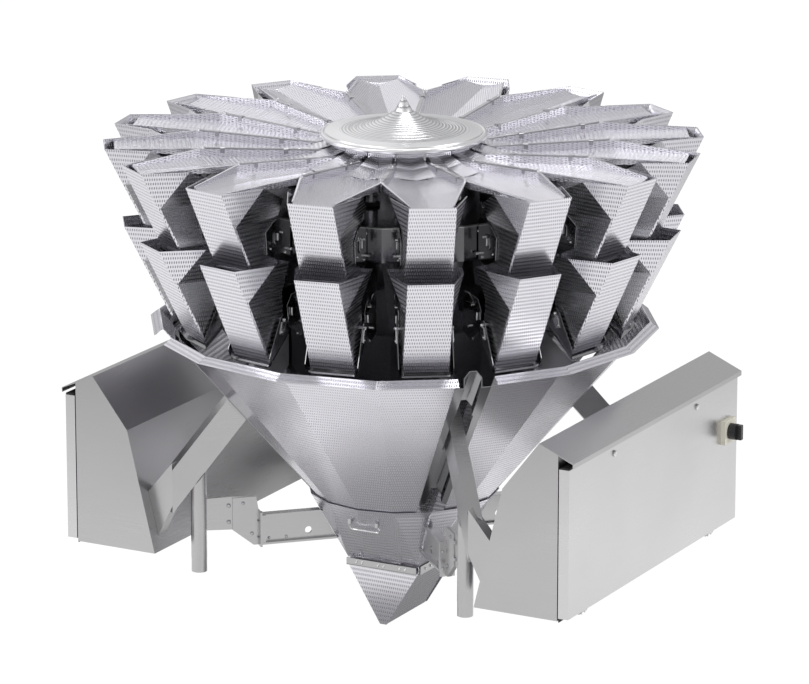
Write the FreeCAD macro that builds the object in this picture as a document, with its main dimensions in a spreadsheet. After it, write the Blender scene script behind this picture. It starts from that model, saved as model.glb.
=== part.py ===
import FreeCAD, Part
import Sketcher
import os
import re

# Multihead weigher: a ring of weighing heads round one drive column. Product falls on a
# spun cone, runs down feeder pans into pool hoppers, drops into weigh hoppers, and their
# gates let it fall on four quarter cones that lead to one outlet funnel.
#
# Frame: origin midway between the feet of the four posts, on their lower faces, +Z up,
# +X towards the cabinet with the main switch. Lengths are in millimetres, angles in degrees.

DOC = FreeCAD.newDocument("multihead_weigher")
SHEET = DOC.addObject("Spreadsheet::Sheet", "Sizes")

SIZES = (
    ("heads", 16, "weighing heads round the column"),
    ("quarters", 4, "quarter cones that share the rim"),
    ("joint_gap", 0.3, "gap between pieces that seat on each other"),
    ("pin_play", 0.05, "radial play of a pin in its eye"),
    ("hopper_sheet", 2, "thickness of hopper and gate sheet"),
    ("chute_sheet", 2.5, "thickness of cone, funnel and ridge sheet"),
    # spun cone
    ("cone_rim", 225, "radius of the spun cone at its rolled bead"),
    ("cone_rim_level", 1213, "height of the bead's centre"),
    ("cone_bead", 8, "radius of the rolled bead"),
    ("cone_sheet", 4, "thickness of the spun cone"),
    ("cone_neck", 27, "radius of the cone's neck"),
    ("cone_neck_level", 1277, "height of the neck"),
    ("cone_knob", 9, "radius of the ball on the tip"),
    ("cone_tip_level", 1322, "height of the tip"),
    ("spindle_radius", 30, "radius of the shaft under the cone"),
    # drive column
    ("column_top_level", 1078, "top of the column's upper skirt"),
    ("column_skirt_level", 985, "lower edge of the upper skirt"),
    ("column_waist_level", 720, "lower end of the column's taper"),
    ("column_foot_level", 545, "underside of the column"),
    ("column_radius", 566, "corner radius of the upper skirt"),
    ("column_waist", 338, "corner radius of the lower column"),
    # feeder pans
    ("pan_inner", 185, "radius of the pan's inner end"),
    ("pan_shoulder", 575, "radius where the pan is widest"),
    ("pan_outer", 800, "radius of the pan's outer end"),
    ("pan_gap", 1, "half of the gap between two pans"),
    ("pan_cap", 7, "width of the flat rim on top of a pan's wall"),
    ("pan_lip", 20, "height of the upright part of a pan's wall"),
    ("pan_inner_level", 1177, "height of the rim at the inner end"),
    ("pan_shoulder_level", 1209, "height of the rim at the shoulder"),
    ("pan_outer_level", 1199, "height of the rim at the outer end"),
    ("pan_outer_half", 60, "half width of the outer end"),
    ("pan_outer_cap", 4, "width of the flat rim at the outer end"),
    ("pan_outer_lip", 4, "height of the upright part at the outer end"),
    ("pan_fold", 0.45, "share of the half width at which the floor is folded"),
    ("pan_side_fall", 0.25, "slope of the floor's outer facets"),
    ("pan_floor_fall", 0.13, "slope of the floor's inner facets"),
    ("stand_place", 300, "radius at which the feeder stands are set"),
    ("stand_radius", 19, "radius of a feeder stand"),
    # pool hoppers
    ("pool_top_level", 1200, "top edge of a pool hopper's front"),
    ("pool_back_level", 1150, "top edge of a pool hopper's back"),
    ("pool_fold_level", 1100, "fold where the flare ends"),
    ("pool_foot_level", 945, "lower edge of a pool hopper, inside its weigh hopper"),
    ("pool_front", 830, "radius of the front's top edge"),
    ("pool_half", 63, "half width of a pool hopper"),
    ("pool_flare_half", 103, "half width over the flared corners"),
    ("pool_flare_reach", 125, "distance of a flared corner behind the front"),
    ("pool_back", 606, "radius of a pool hopper's back"),
    ("pool_gate_reach", 8, "how far a pool hopper's gate stands out in front"),
    ("pool_gate_lip", 14, "height of that gate's front lip"),
    # weigh hoppers
    ("weigh_top_level", 980, "top edge of a weigh hopper's front"),
    ("weigh_fold_level", 884, "fold where the flare ends"),
    ("weigh_foot_level", 705, "lower edge of a weigh hopper's front"),
    ("weigh_mouth_drop", 64, "rise of the side's lower edge from front to back"),
    ("weigh_front", 779, "radius of the front's top edge"),
    ("weigh_half", 62, "half width of a weigh hopper"),
    ("weigh_flare_half", 100, "half width over the flared corners"),
    ("weigh_flare_reach", 122, "distance of a flared corner behind the front"),
    ("weigh_back", 600, "radius of the back's top edge"),
    ("hopper_bend", 6, "length of the bent corner between a hopper's front and side"),
    ("hopper_lean", 26.4, "lean of both hoppers' fronts from upright"),
    # weigh gates
    ("gate_side_gap", 11, "gap from a hopper's side to its gate's ear"),
    ("gate_floor_gap", 10, "gap from a hopper's mouth to its gate"),
    ("gate_overreach", 12, "how far a gate passes the hopper's front"),
    ("gate_corner", 19, "outer radius of a gate's lower corners"),
    ("gate_pivot_ahead", 14, "pivot's distance in front of the hopper's lower back corner"),
    ("gate_pivot_rise", 44, "pivot's height over the hopper's lower back corner"),
    ("gate_pin", 6, "radius of a gate's pivot pin"),
    ("gate_eye", 14, "size of the ear round its pin"),
    # brackets between hoppers and column
    ("bracket_half", 44, "half of the distance over a head's two bracket plates"),
    ("bracket_sheet", 6, "thickness of a bracket plate"),
    ("pool_bracket_top", 1068, "top of the pool hopper's brackets"),
    ("pool_bracket_foot", 1000, "lower edge of the pool hopper's brackets"),
    ("weigh_bracket_top", 900, "top of the weigh hopper's brackets"),
    ("weigh_bracket_foot", 806, "lower edge of the weigh hopper's brackets"),
    # quarter cones, ridges and funnel
    ("ring_radius", 692, "corner radius of the cones' rim"),
    ("ring_level", 693, "height of the rim"),
    ("ring_flange", 23, "how far the rim's flange reaches out"),
    ("ring_flange_drop", 18, "how far the flange drops"),
    ("ring_slit", 3, "width of the slit between two flange pieces"),
    ("chute_foot", 262, "corner radius at the cones' lower edge"),
    ("chute_foot_level", 192, "height of the cones' lower edge"),
    ("gap_rim_half", 52, "half width of the gap between two cones at the rim"),
    ("gap_foot_half", 40, "half width of that gap at its lower end"),
    ("ridge_flat_half", 10, "half width of a ridge's flat top"),
    ("ridge_half", 26, "half width of a ridge over its upright sides"),
    ("ridge_rise", 26, "height of a ridge's upright sides"),
    ("ridge_slope_rise", 20, "height from the upright sides to the flat top"),
    ("ridge_wing", 12, "width of the wing left beside the slot at a ridge's lower end"),
    ("ridge_end", 565, "where the slot for the arm begins, distance from the middle"),
    ("ridge_setback", 30, "distance of a ridge's ends from the cones' ends"),
    ("funnel_top", 271, "corner radius of the funnel's top edge"),
    ("funnel_top_level", 196, "height of the funnel's top edge"),
    ("funnel_foot_level", 6, "height of the funnel's lower edge"),
    ("funnel_foot_x", 113, "half width of the funnel's lower edge"),
    ("funnel_foot_y", 122, "half depth of the funnel's lower edge"),
    # outlet
    ("cheek_sheet", 3, "thickness of the outlet's end cheeks"),
    ("outlet_depth", 186, "depth of the outlet below the funnel"),
    ("flap_sheet", 3, "thickness of an outlet flap"),
    ("flap_side_gap", 5, "gap from a flap to the end cheek"),
    ("flap_meet_gap", 5, "gap between the two flaps where they meet"),
    ("flap_pin", 4, "radius of a flap's hinge rod"),
    ("flap_eye", 7, "outer radius of a flap's hinge tube"),
    ("flap_pin_drop", 13, "hinge rod's distance below the funnel's edge"),
    ("flap_pin_inset", 8, "hinge rod's distance inside the funnel's edge"),
    # posts, arms and braces
    ("post_x", 420, "post's distance from the middle along X"),
    ("post_y", 424, "post's distance from the middle along Y"),
    ("post_radius", 22.25, "radius of a post"),
    ("spigot_height", 40, "height of the spigot that goes into the platform's socket"),
    ("spigot_step", 0.5, "how much smaller the spigot's radius is than the post's"),
    ("brace_top", 207, "upper edge of a brace's outer plate"),
    ("brace_foot", 62, "lower edge of a brace's channel"),
    ("brace_depth", 88, "depth of a brace's channel"),
    ("brace_plate", 6, "thickness of a brace's plates"),
    ("brace_half", 14, "half width of a brace's channel"),
    ("brace_joint", 424, "where a brace's plate meets its channel, distance from the middle"),
    ("brace_hole", 10, "radius of the hole through a brace's channel"),
    ("brace_hole_place", 280, "that hole's distance from the middle"),
    ("post_top_level", 300, "height of a post's top, inside the outline of its arm"),
    ("arm_half", 20, "half width of an arm"),
    ("arm_depth", 80, "depth of an arm"),
    ("arm_slot_gap", 0.3, "gap under an arm where it passes through a ridge"),
    ("arm_foot_level", 170, "arm's lower end, height"),
    ("arm_knee_place", 668, "arm's knee, distance from the middle"),
    ("arm_knee_level", 250, "arm's knee, height"),
    ("arm_slope", 50, "slope of an arm's upper run"),
    # cabinets
    ("cabinet_half", 530, "half length of a cabinet"),
    ("cabinet_sheet", 2, "thickness of cabinet sheet"),
    ("cabinet_foot_level", 66, "underside of a cabinet"),
    ("cabinet_back", 501, "inner lower edge of a cabinet"),
    ("cabinet_front", 752, "front plane of a cabinet's shell"),
    ("cabinet_elbow", 586, "distance of the fold in the back wall"),
    ("cabinet_elbow_level", 412, "height of that fold"),
    ("cabinet_ridge", 695, "distance of the roof's ridge"),
    ("cabinet_ridge_level", 552, "height of the ridge"),
    ("hood_reach", 797, "distance of the roof's front lip"),
    ("hood_level", 508, "height of the roof's front edge"),
    ("hood_lip", 13, "height of the front lip"),
    ("frame_border", 34, "width of the frame round a cabinet's opening"),
    ("door_gap", 3, "gap between a shell and its door"),
    ("door_depth", 30, "depth of a door"),
    ("door_foot_level", 74, "lower edge of a door"),
    ("door_top_level", 489, "top edge of a door"),
    ("hinge_place", 762, "hinge pin's distance from the middle"),
    ("hinge_level", 61, "hinge pin's height"),
    ("hinge_pin", 3, "radius of a hinge pin"),
    ("hinge_eye", 6, "outer radius of a hinge knuckle"),
    ("hinge_spread", 400, "hinges' distance from a door's middle"),
    ("hinge_width", 30, "length of one knuckle"),
    ("lock_spread", 260, "locks' distance from a door's middle"),
    ("lock_level", 468, "height of the locks"),
    ("lock_radius", 9, "radius of a lock's face"),
    ("lock_proud", 3, "how far a lock stands out"),
    ("switch_y", 457, "switch's distance from the door's middle"),
    ("switch_level", 350, "height of the switch"),
    ("switch_size", 68, "side of the switch's square base"),
    ("switch_proud", 14, "thickness of the switch's base"),
    ("knob_radius", 23, "radius of the switch's knob"),
    ("knob_length", 22, "length of the knob's skirt"),
    ("knob_spindle", 5, "radius of the knob's spindle"),
    ("knob_grip", 14, "width of the knob's grip"),
    ("knob_grip_proud", 14, "how far the grip stands out"),
)

for row, (name, size, note) in enumerate(SIZES, start=1):
    SHEET.set(f"A{row}", name)
    SHEET.set(f"B{row}", str(size))
    SHEET.set(f"C{row}", note)
    SHEET.setAlias(f"B{row}", name)
DOC.recompute()

NAMES = {name for name, _, _ in SIZES}


def bound(formula):
    """A formula in the sheet's names, written as an expression of the document."""
    return re.sub(r"[a-z_]+", lambda hit: f"Sizes.{hit[0]}" if hit[0] in NAMES else hit[0], str(formula))


def value(formula):
    """The number that a formula in the sheet's names gives."""
    number = SHEET.evalExpression(bound(formula))
    return float(getattr(number, "Value", number))


def bind(thing, path, formula):
    """Ties a property of an object to a formula in the sheet's names."""
    thing.setExpression(path, bound(formula))


# ---------------------------------------------------------------- building helpers

def new_body(name):
    body = DOC.addObject("PartDesign::Body", name)
    body.Label = name
    return body


def origin_part(body, role):
    return next(item for item in body.Origin.OriginFeatures if item.Role == role)


def new_sketch(body, name, plane="XY_Plane", offset=None):
    """A sketch on one of the body's own planes, lifted off it by a formula."""
    sketch = body.newObject("Sketcher::SketchObject", name)
    sketch.AttachmentSupport = [(origin_part(body, plane), "")]
    sketch.MapMode = "FlatFace"
    if offset is not None:
        bind(sketch, "AttachmentOffset.Base.z", offset)
    return sketch


def add_outline(sketch, points):
    """A closed outline whose corners are each held by two formulas."""
    flat = [FreeCAD.Vector(value(across), value(up), 0) for across, up in points]
    first = sketch.GeometryCount
    count = len(points)
    for index in range(count):
        sketch.addGeometry(Part.LineSegment(flat[index], flat[(index + 1) % count]), False)
    for index in range(count):
        follower = first + (index + 1) % count
        sketch.addConstraint(Sketcher.Constraint("Coincident", first + index, 2, follower, 1))
    for index, (across, up) in enumerate(points):
        for kind, formula, size in (("DistanceX", across, flat[index].x), ("DistanceY", up, flat[index].y)):
            place = sketch.addConstraint(Sketcher.Constraint(kind, -1, 1, first + index, 1, size))
            sketch.setExpression(f"Constraints[{place}]", bound(formula))


def add_circle(sketch, across, up, radius):
    """A circle held by its centre and radius."""
    middle = FreeCAD.Vector(value(across), value(up), 0)
    ring = sketch.addGeometry(Part.Circle(middle, FreeCAD.Vector(0, 0, 1), value(radius)), False)
    for kind, formula, size in (("DistanceX", across, middle.x), ("DistanceY", up, middle.y)):
        place = sketch.addConstraint(Sketcher.Constraint(kind, -1, 1, ring, 3, size))
        sketch.setExpression(f"Constraints[{place}]", bound(formula))
    place = sketch.addConstraint(Sketcher.Constraint("Radius", ring, value(radius)))
    sketch.setExpression(f"Constraints[{place}]", bound(radius))


def add_feature(body, kind, name, profile=None, **settings):
    feature = body.newObject(kind, name)
    if profile is not None:
        feature.Profile = profile
    for key, setting in settings.items():
        setattr(feature, key, setting)
    body.Tip = feature
    return feature


def pad(body, name, sketch, length, both_ways=False, backwards=False):
    feature = add_feature(body, "PartDesign::Pad", name, sketch, Midplane=both_ways, Reversed=backwards)
    bind(feature, "Length", length)
    return feature


def pocket(body, name, sketch, length, both_ways=False, backwards=False):
    feature = add_feature(body, "PartDesign::Pocket", name, sketch, Midplane=both_ways, Reversed=backwards)
    bind(feature, "Length", length)
    return feature


def loft(body, name, sketches, cut=False):
    kind = "PartDesign::SubtractiveLoft" if cut else "PartDesign::AdditiveLoft"
    return add_feature(body, kind, name, sketches[0], Sections=sketches[1:], Ruled=True)


def ring_pattern(body, name, features, count="heads"):
    """Copies of the features round the Z axis."""
    pattern = add_feature(body, "PartDesign::PolarPattern", name)
    pattern.Originals = features
    pattern.Axis = (origin_part(body, "Z_Axis"), [""])
    pattern.Angle = 360
    bind(pattern, "Occurrences", count)
    body.Tip = pattern
    return pattern


def face_head(body, number=0):
    """Turns a body drawn along +X so that it faces head number 0, 1, 2, ..."""
    body.Placement = FreeCAD.Placement(FreeCAD.Vector(), FreeCAD.Rotation(FreeCAD.Vector(0, 0, 1), 1))
    bind(body, "Placement.Rotation.Angle", f"({number} + 0.5) * 360 / heads - 90")


def mirrored(points):
    """Half an outline, from one side over to the other, completed by its mirror image."""
    return points + [(f"-({across})", up) for across, up in reversed(points)]


# ---------------------------------------------------------------- cone, column and feeder pans

def make_spun_cone():
    """A thin witch-hat cone with a rolled bead, spun in one piece."""
    body = new_body("dispersion_cone")
    sketch = new_sketch(body, "cone_section", "XZ_Plane")
    skirt = "(cone_rim_level + cone_bead)"
    slope = "(cone_neck_level - cone_rim_level - cone_bead)"
    reach = "(cone_rim - cone_neck)"
    outer = [("0", "cone_tip_level"),
             ("cone_knob", "cone_tip_level - cone_knob"),
             ("cone_knob * 0.8", "cone_tip_level - cone_knob * 2.4"),
             ("cone_neck", "cone_neck_level")]
    for share, rise in ((0.12, 0.72), (0.32, 0.41), (0.62, 0.13)):
        outer.append((f"cone_neck + {reach} * {share}", f"{skirt} + {slope} * {rise}"))
    outer.append(("cone_rim", f"{skirt} + cone_bead * 0.3"))
    bead = [("cone_rim + cone_bead", "cone_rim_level + cone_bead * 0.4"),
            ("cone_rim + cone_bead", "cone_rim_level - cone_bead * 0.4"),
            ("cone_rim", "cone_rim_level - cone_bead"),
            ("cone_rim - cone_bead", "cone_rim_level - cone_bead * 0.4")]
    under = [(f"cone_neck + {reach} * {share}", f"{skirt} + {slope} * {rise} - cone_sheet")
             for share, rise in ((0.62, 0.13), (0.32, 0.41), (0.12, 0.72))]
    under.append(("0", f"{skirt} + {slope} * 0.72 - cone_sheet"))
    add_outline(sketch, outer + bead + under)
    add_feature(body, "PartDesign::Revolution", "cone_turned", sketch,
                ReferenceAxis=(sketch, ["V_Axis"]), Angle=360)
    return body


def make_cone_spindle():
    """The shaft that carries the cone, with a wide boss on the column's top."""
    body = new_body("cone_spindle")
    boss = new_sketch(body, "boss_outline", offset="column_top_level")
    add_circle(boss, "0", "0", "spindle_radius * 2.6")
    first = pad(body, "boss", boss, "24")
    shaft = new_sketch(body, "shaft_outline", offset="column_top_level")
    add_circle(shaft, "0", "0", "spindle_radius")
    top = "cone_rim_level + cone_bead + (cone_neck_level - cone_rim_level - cone_bead) * 0.72"
    pad(body, "shaft", shaft, f"{top} - cone_sheet - joint_gap - column_top_level")
    return body


def make_column():
    """The drive housing: a many-sided skirt, a taper and a narrow foot, one side per head."""
    sections = []
    for name, level, radius in (("foot", "column_foot_level", "column_waist"),
                                ("waist", "column_waist_level", "column_waist"),
                                ("skirt", "column_skirt_level", "column_radius"),
                                ("top", "column_top_level", "column_radius")):
        outline = DOC.addObject("Part::RegularPolygon", f"column_{name}")
        bind(outline, "Polygon", "heads")
        bind(outline, "Circumradius", radius)
        bind(outline, "Placement.Base.z", level)
        sections.append(outline)
    column = DOC.addObject("Part::Loft", "drive_column")
    column.Label = "drive_column"
    column.Sections = sections
    column.Solid = True
    column.Ruled = True
    return column


def trough_depth(half, cap, lip):
    """Depth of a feeder pan from its rim to the fold in the middle of its floor."""
    return f"({lip} + ({half} * (1 - pan_fold) - {cap}) * pan_side_fall + {half} * pan_fold * pan_floor_fall)"


def trough_outline(half, rim, cap, lip):
    """The cross-section of a feeder pan: flat rims, upright lips and a folded floor."""
    fold_level = f"{rim} - {lip} - ({half} * (1 - pan_fold) - {cap}) * pan_side_fall"
    upper = [(half, rim), (f"{half} - {cap}", rim), (f"{half} - {cap}", f"{rim} - {lip}"),
             (f"{half} * pan_fold", fold_level)]
    middle = ("0", f"{rim} - {trough_depth(half, cap, lip)}")
    lower = [(half, f"{rim} - hopper_sheet"), (f"{half} - {cap} + hopper_sheet", f"{rim} - hopper_sheet"),
             (f"{half} - {cap} + hopper_sheet", f"{rim} - {lip} - hopper_sheet * 0.8"),
             (f"{half} * pan_fold", f"{fold_level} - hopper_sheet")]
    lower_middle = ("0", f"{middle[1]} - hopper_sheet")
    left_upper = [(f"-({across})", up) for across, up in reversed(upper)]
    left_lower = [(f"-({across})", up) for across, up in lower]
    return upper + [middle] + left_upper + left_lower + [lower_middle] + lower[::-1]


INNER_HALF = "(pan_inner * tan(180 / heads) - pan_gap)"
SHOULDER_HALF = "(pan_shoulder * tan(180 / heads) - pan_gap)"


def make_pans():
    """One folded trough per head: it widens along its sector and narrows over its hopper."""
    body = new_body("feeder_pans")
    sketches = []
    for name, place, half, rim, cap, lip in (
            ("inner", "pan_inner", INNER_HALF, "pan_inner_level", "pan_cap", "pan_lip"),
            ("shoulder", "pan_shoulder", SHOULDER_HALF, "pan_shoulder_level", "pan_cap", "pan_lip"),
            ("outer", "pan_outer", "pan_outer_half", "pan_outer_level", "pan_outer_cap", "pan_outer_lip")):
        sketch = new_sketch(body, f"pan_{name}", "YZ_Plane", place)
        add_outline(sketch, trough_outline(half, rim, cap, lip))
        sketches.append(sketch)
    trough = loft(body, "trough", sketches)
    ring_pattern(body, "pan_ring", [trough])
    face_head(body)
    return body


def make_stands():
    """The short posts on the column's top that shake the pans."""
    body = new_body("feeder_stands")
    stem = new_sketch(body, "stand_outline", offset="column_top_level")
    add_outline(stem, [(f"stand_place + stand_radius * cos({step} * 30)", f"stand_radius * sin({step} * 30)")
                       for step in range(12)])
    run = "(stand_place - stand_radius - pan_inner) / (pan_shoulder - pan_inner)"
    floors = [f"({rim} - {trough_depth(half, 'pan_cap', 'pan_lip')})"
              for rim, half in (("pan_inner_level", INNER_HALF), ("pan_shoulder_level", SHOULDER_HALF))]
    lower = f"min({floors[0]} + ({floors[1]} - {floors[0]}) * {run}; {floors[1]})"
    post = pad(body, "stand_stem", stem, f"{lower} - hopper_sheet - joint_gap - column_top_level")
    ring_pattern(body, "stand_circle", [post])
    face_head(body)
    return body


# ---------------------------------------------------------------- hoppers

def hopper_section(body, name, level, front, reach, half, spread, back, wall):
    """
    A six-cornered section of a hopper, drawn inside its outer sheet by a wall. The corner
    facet between front and side runs back by reach and outwards by spread. Every section
    of a hopper has facets of the same direction, so that the sheet between them is flat.
    """
    sketch = new_sketch(body, name, "XY_Plane", level)
    length = f"sqrt(({reach})^2 + ({spread})^2)"
    one_side = [(f"{front} - {wall}", f"{half} - {wall} * ({length} - ({spread})) / ({reach})"),
                (f"{front} - ({reach}) - {wall} * ({length} - ({reach})) / ({spread})",
                 f"{half} + ({spread}) - {wall}"),
                (f"{back} + {wall}", f"{half} + ({spread}) - {wall}")]
    other = [(across, f"-({up})") for across, up in reversed(one_side)]
    add_outline(sketch, one_side + other)
    return sketch


def make_hoppers(prefix, levels, fronts, backs):
    """A ring of flared hoppers: each is a tapered tube of sheet, open above and below."""
    body = new_body(f"{prefix}_hoppers")
    flare = f"({prefix}_flare_half - {prefix}_half)"
    shells = []
    for side, wall in (("outside", "0"), ("inside", "hopper_sheet")):
        sketches = []
        for number, (level, front, back) in enumerate(zip(levels, fronts, backs)):
            share = "1" if number == 0 else f"hopper_bend / {prefix}_flare_reach"
            sketches.append(hopper_section(
                body, f"{prefix}_{side}_{number}", level, front, f"{prefix}_flare_reach * {share}",
                f"{prefix}_half", f"{flare} * {share}", back, wall))
        shells.append(loft(body, f"{prefix}_{side}", sketches, cut=side == "inside"))
    return body, shells


def front_at(prefix, level):
    """Radius of a leaning hopper front at some height."""
    return f"({prefix}_front - ({prefix}_top_level - ({level})) * tan(hopper_lean))"


def make_pool_hoppers():
    """Upper hoppers, with a lowered back edge. Their feet reach into the weigh hoppers."""
    levels = ["pool_top_level", "pool_fold_level", "pool_foot_level"]
    fronts = [front_at("pool", level) for level in levels]
    body, shells = make_hoppers("pool", levels, fronts, ["pool_back"] * 3)
    back_edge = new_sketch(body, "back_edge", "XZ_Plane")
    add_outline(back_edge, [("pool_front - pool_flare_reach", "pool_top_level + 5"),
                            ("pool_front - pool_flare_reach", "pool_top_level - 0.5"),
                            ("pool_back - 5", "pool_back_level"),
                            ("pool_back - 5", "pool_top_level + 5")])
    lowered = pocket(body, "lowered_back", back_edge, "pool_flare_half * 2 + 20", both_ways=True)
    ring_pattern(body, "pool_ring", shells + [lowered])
    face_head(body)
    return body


def make_pool_gates():
    """The shut gates under the pool hoppers: a floor with a lip turned up in front."""
    body = new_body("pool_gates")
    foot = front_at("pool", "pool_foot_level")
    floor = "(pool_foot_level - joint_gap)"
    front = f"({foot} + pool_gate_reach)"
    lean = "pool_gate_lip * tan(hopper_lean)"
    side = new_sketch(body, "gate_side", "XZ_Plane")
    add_outline(side, [(front, f"{floor} - hopper_sheet"),
                       (f"{front} + {lean}", f"{floor} + pool_gate_lip"),
                       (f"{front} + {lean} - hopper_sheet", f"{floor} + pool_gate_lip"),
                       (f"{front} - hopper_sheet", floor),
                       ("pool_back", floor),
                       ("pool_back", f"{floor} - hopper_sheet")])
    plate = pad(body, "gate_plate", side, "pool_half * 2", both_ways=True)
    ring_pattern(body, "pool_gate_ring", [plate])
    face_head(body)
    return body


MOUTH_BACK = f"({front_at('weigh', 'weigh_foot_level')} - weigh_mouth_drop)"
PIVOT_RADIUS = f"({MOUTH_BACK} + gate_pivot_ahead)"
PIVOT_LEVEL = "(weigh_foot_level + weigh_mouth_drop + gate_pivot_rise)"


def make_weigh_hoppers():
    """Lower hoppers, cut off aslant below."""
    levels = ["weigh_top_level", "weigh_fold_level", "weigh_foot_level"]
    fronts = [front_at("weigh", level) for level in levels]
    lean = f"(weigh_back - {MOUTH_BACK}) / (weigh_top_level - weigh_foot_level - weigh_mouth_drop)"
    backs = [f"(weigh_back - (weigh_top_level - {level}) * {lean})" for level in levels]
    body, shells = make_hoppers("weigh", levels, fronts, backs)
    mouth = new_sketch(body, "mouth_side", "XZ_Plane")
    foot = front_at("weigh", "weigh_foot_level")
    add_outline(mouth, [(f"{foot} + 5", "weigh_foot_level - 5"),
                        (f"{MOUTH_BACK} - 40", "weigh_foot_level + weigh_mouth_drop + 40"),
                        (f"{MOUTH_BACK} - 40", "weigh_foot_level - 5")])
    slant = pocket(body, "slanted_mouth", mouth, "weigh_half * 2 + 20", both_ways=True)
    ring_pattern(body, "weigh_ring", shells + [slant])
    face_head(body)
    return body


def make_weigh_gate(number):
    """
    A gate: a tray with round corners across the slanted mouth, and an ear at each side
    with a pivot pin that ends at the hopper's wall.
    """
    name = f"weigh_gate_{number + 1:02d}"
    body = new_body(name)
    foot = front_at("weigh", "weigh_foot_level")
    drop = "(gate_floor_gap + hopper_sheet) / sqrt(2)"
    ahead = "gate_overreach / sqrt(2)"
    side = new_sketch(body, f"{name}_side", "XZ_Plane")
    add_outline(side, [(f"{foot} - {drop} + {ahead}", f"weigh_foot_level - {drop} - {ahead}"),
                       (f"{foot} + gate_overreach", "weigh_foot_level + gate_overreach"),
                       (f"{PIVOT_RADIUS} + gate_eye", f"{PIVOT_LEVEL} + gate_eye * 0.5"),
                       (f"{PIVOT_RADIUS} + gate_eye * 0.5", f"{PIVOT_LEVEL} + gate_eye"),
                       (f"{PIVOT_RADIUS} - gate_eye * 0.5", f"{PIVOT_LEVEL} + gate_eye"),
                       (f"{PIVOT_RADIUS} - gate_eye", f"{PIVOT_LEVEL} + gate_eye * 0.5"),
                       (f"{MOUTH_BACK} - {drop}", f"weigh_foot_level + weigh_mouth_drop - {drop}")])
    block = pad(body, f"{name}_block", side, "(weigh_half + gate_side_gap + hopper_sheet) * 2", both_ways=True)
    DOC.recompute()
    corners = floor_edges(block.Shape)
    rounds = add_feature(body, "PartDesign::Fillet", f"{name}_corners")
    rounds.Base = (block, corners)
    bind(rounds, "Radius", "gate_corner")
    DOC.recompute()
    shell = add_feature(body, "PartDesign::Thickness", f"{name}_tray")
    shell.Base = (rounds, open_faces(rounds.Shape))
    bind(shell, "Value", "hopper_sheet")
    shell.Reversed = True
    wall = "(weigh_half + (weigh_flare_half - weigh_half) * hopper_bend / weigh_flare_reach)"
    for side, sign in (("left", "-1"), ("right", "1")):
        pin = new_sketch(body, f"{name}_{side}_pin_outline", "XZ_Plane", f"-1 * {sign} * ({wall} + joint_gap)")
        add_circle(pin, PIVOT_RADIUS, PIVOT_LEVEL, "gate_pin")
        pad(body, f"{name}_{side}_pin", pin, f"weigh_half + gate_side_gap + 1 - {wall} - joint_gap",
            backwards=sign == "1")
    face_head(body, number)
    return body


def floor_edges(shape):
    """The two long lower edges of a gate's block, along its slanted floor."""
    found = []
    for index, edge in enumerate(shape.Edges, start=1):
        start, end = (corner.Point for corner in edge.Vertexes)
        level_side = abs(start.y - end.y) < 0.01
        slanted = abs(abs(start.x - end.x) - abs(start.z - end.z)) < 0.5
        falls_outwards = (start.x - end.x) * (start.z - end.z) < 0
        low = max(start.z, end.z) < value("weigh_foot_level + weigh_mouth_drop + 5")
        if level_side and slanted and falls_outwards and low and edge.Length > value("weigh_mouth_drop"):
            found.append(f"Edge{index}")
    return found


def open_faces(shape):
    """Every face of a gate's block that runs across it, other than the floor."""
    found = []
    for index, face in enumerate(shape.Faces, start=1):
        if not isinstance(face.Surface, Part.Plane):
            continue
        normal = face.normalAt(0, 0)
        is_floor = normal.x < -0.6 and normal.z < -0.6
        if abs(normal.y) < 0.01 and not is_floor:
            found.append(f"Face{index}")
    return found


def make_brackets(prefix, column_edge, hopper_edge):
    """Two upright plates per head that carry a hopper on the column."""
    body = new_body(f"{prefix}_brackets")
    top, foot = f"{prefix}_bracket_top", f"{prefix}_bracket_foot"
    features = []
    for side, place in (("left", "-1 * bracket_half + bracket_sheet"), ("right", "bracket_half")):
        outline = new_sketch(body, f"{prefix}_{side}_bracket", "XZ_Plane", place)
        add_outline(outline, [(column_edge(foot), foot), (hopper_edge(foot), foot),
                              (hopper_edge(top), top), (column_edge(top), top)])
        features.append(pad(body, f"{prefix}_{side}_plate", outline, "bracket_sheet", backwards=True))
    ring_pattern(body, f"{prefix}_bracket_ring", features)
    face_head(body)
    return body


def make_pool_brackets():
    return make_brackets("pool", lambda level: "column_radius * cos(180 / heads)",
                         lambda level: "pool_back")


def make_weigh_brackets():
    taper = ("(column_waist + (column_radius - column_waist) * ({0} - column_waist_level)"
             " / (column_skirt_level - column_waist_level)) * cos(180 / heads)")
    lean = f"(weigh_back - {MOUTH_BACK}) / (weigh_top_level - weigh_foot_level - weigh_mouth_drop)"
    return make_brackets("weigh", taper.format, lambda level: f"weigh_back - (weigh_top_level - {level}) * {lean}")


# ---------------------------------------------------------------- quarter cones, ridges and funnel

def polar(radius, angle):
    """A point at an angle from the +X axis, as two formulas."""
    return (f"{radius} * cos({angle})", f"{radius} * sin({angle})")


def rim_points(radius, half_gap, offset="0"):
    """
    Corners of one quarter of the rim, facing +X, from one gap to the next. The two end
    points lie on the outermost sides, at half_gap from the diagonal through the corner.
    """
    corner = "(360 / heads)"
    share = f"({half_gap} / (({radius}) * sin({corner})))"
    inset = f"(({radius}) - ({offset}))"
    ends = []
    for sign in ("-1", "1"):
        outer = polar(inset, f"{sign} * 2 * {corner}")
        inner = polar(inset, f"{sign} * {corner}")
        ends.append(tuple(f"{a} * (1 - {share}) + {b} * {share}" for a, b in zip(outer, inner)))
    middle = [polar(inset, f"{step} * {corner}") for step in ("-1", "0", "1")]
    return [ends[0]] + middle + [ends[1]]


QUARTERS = (("front", -90), ("right", 0), ("back", 90), ("left", 180))


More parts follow.
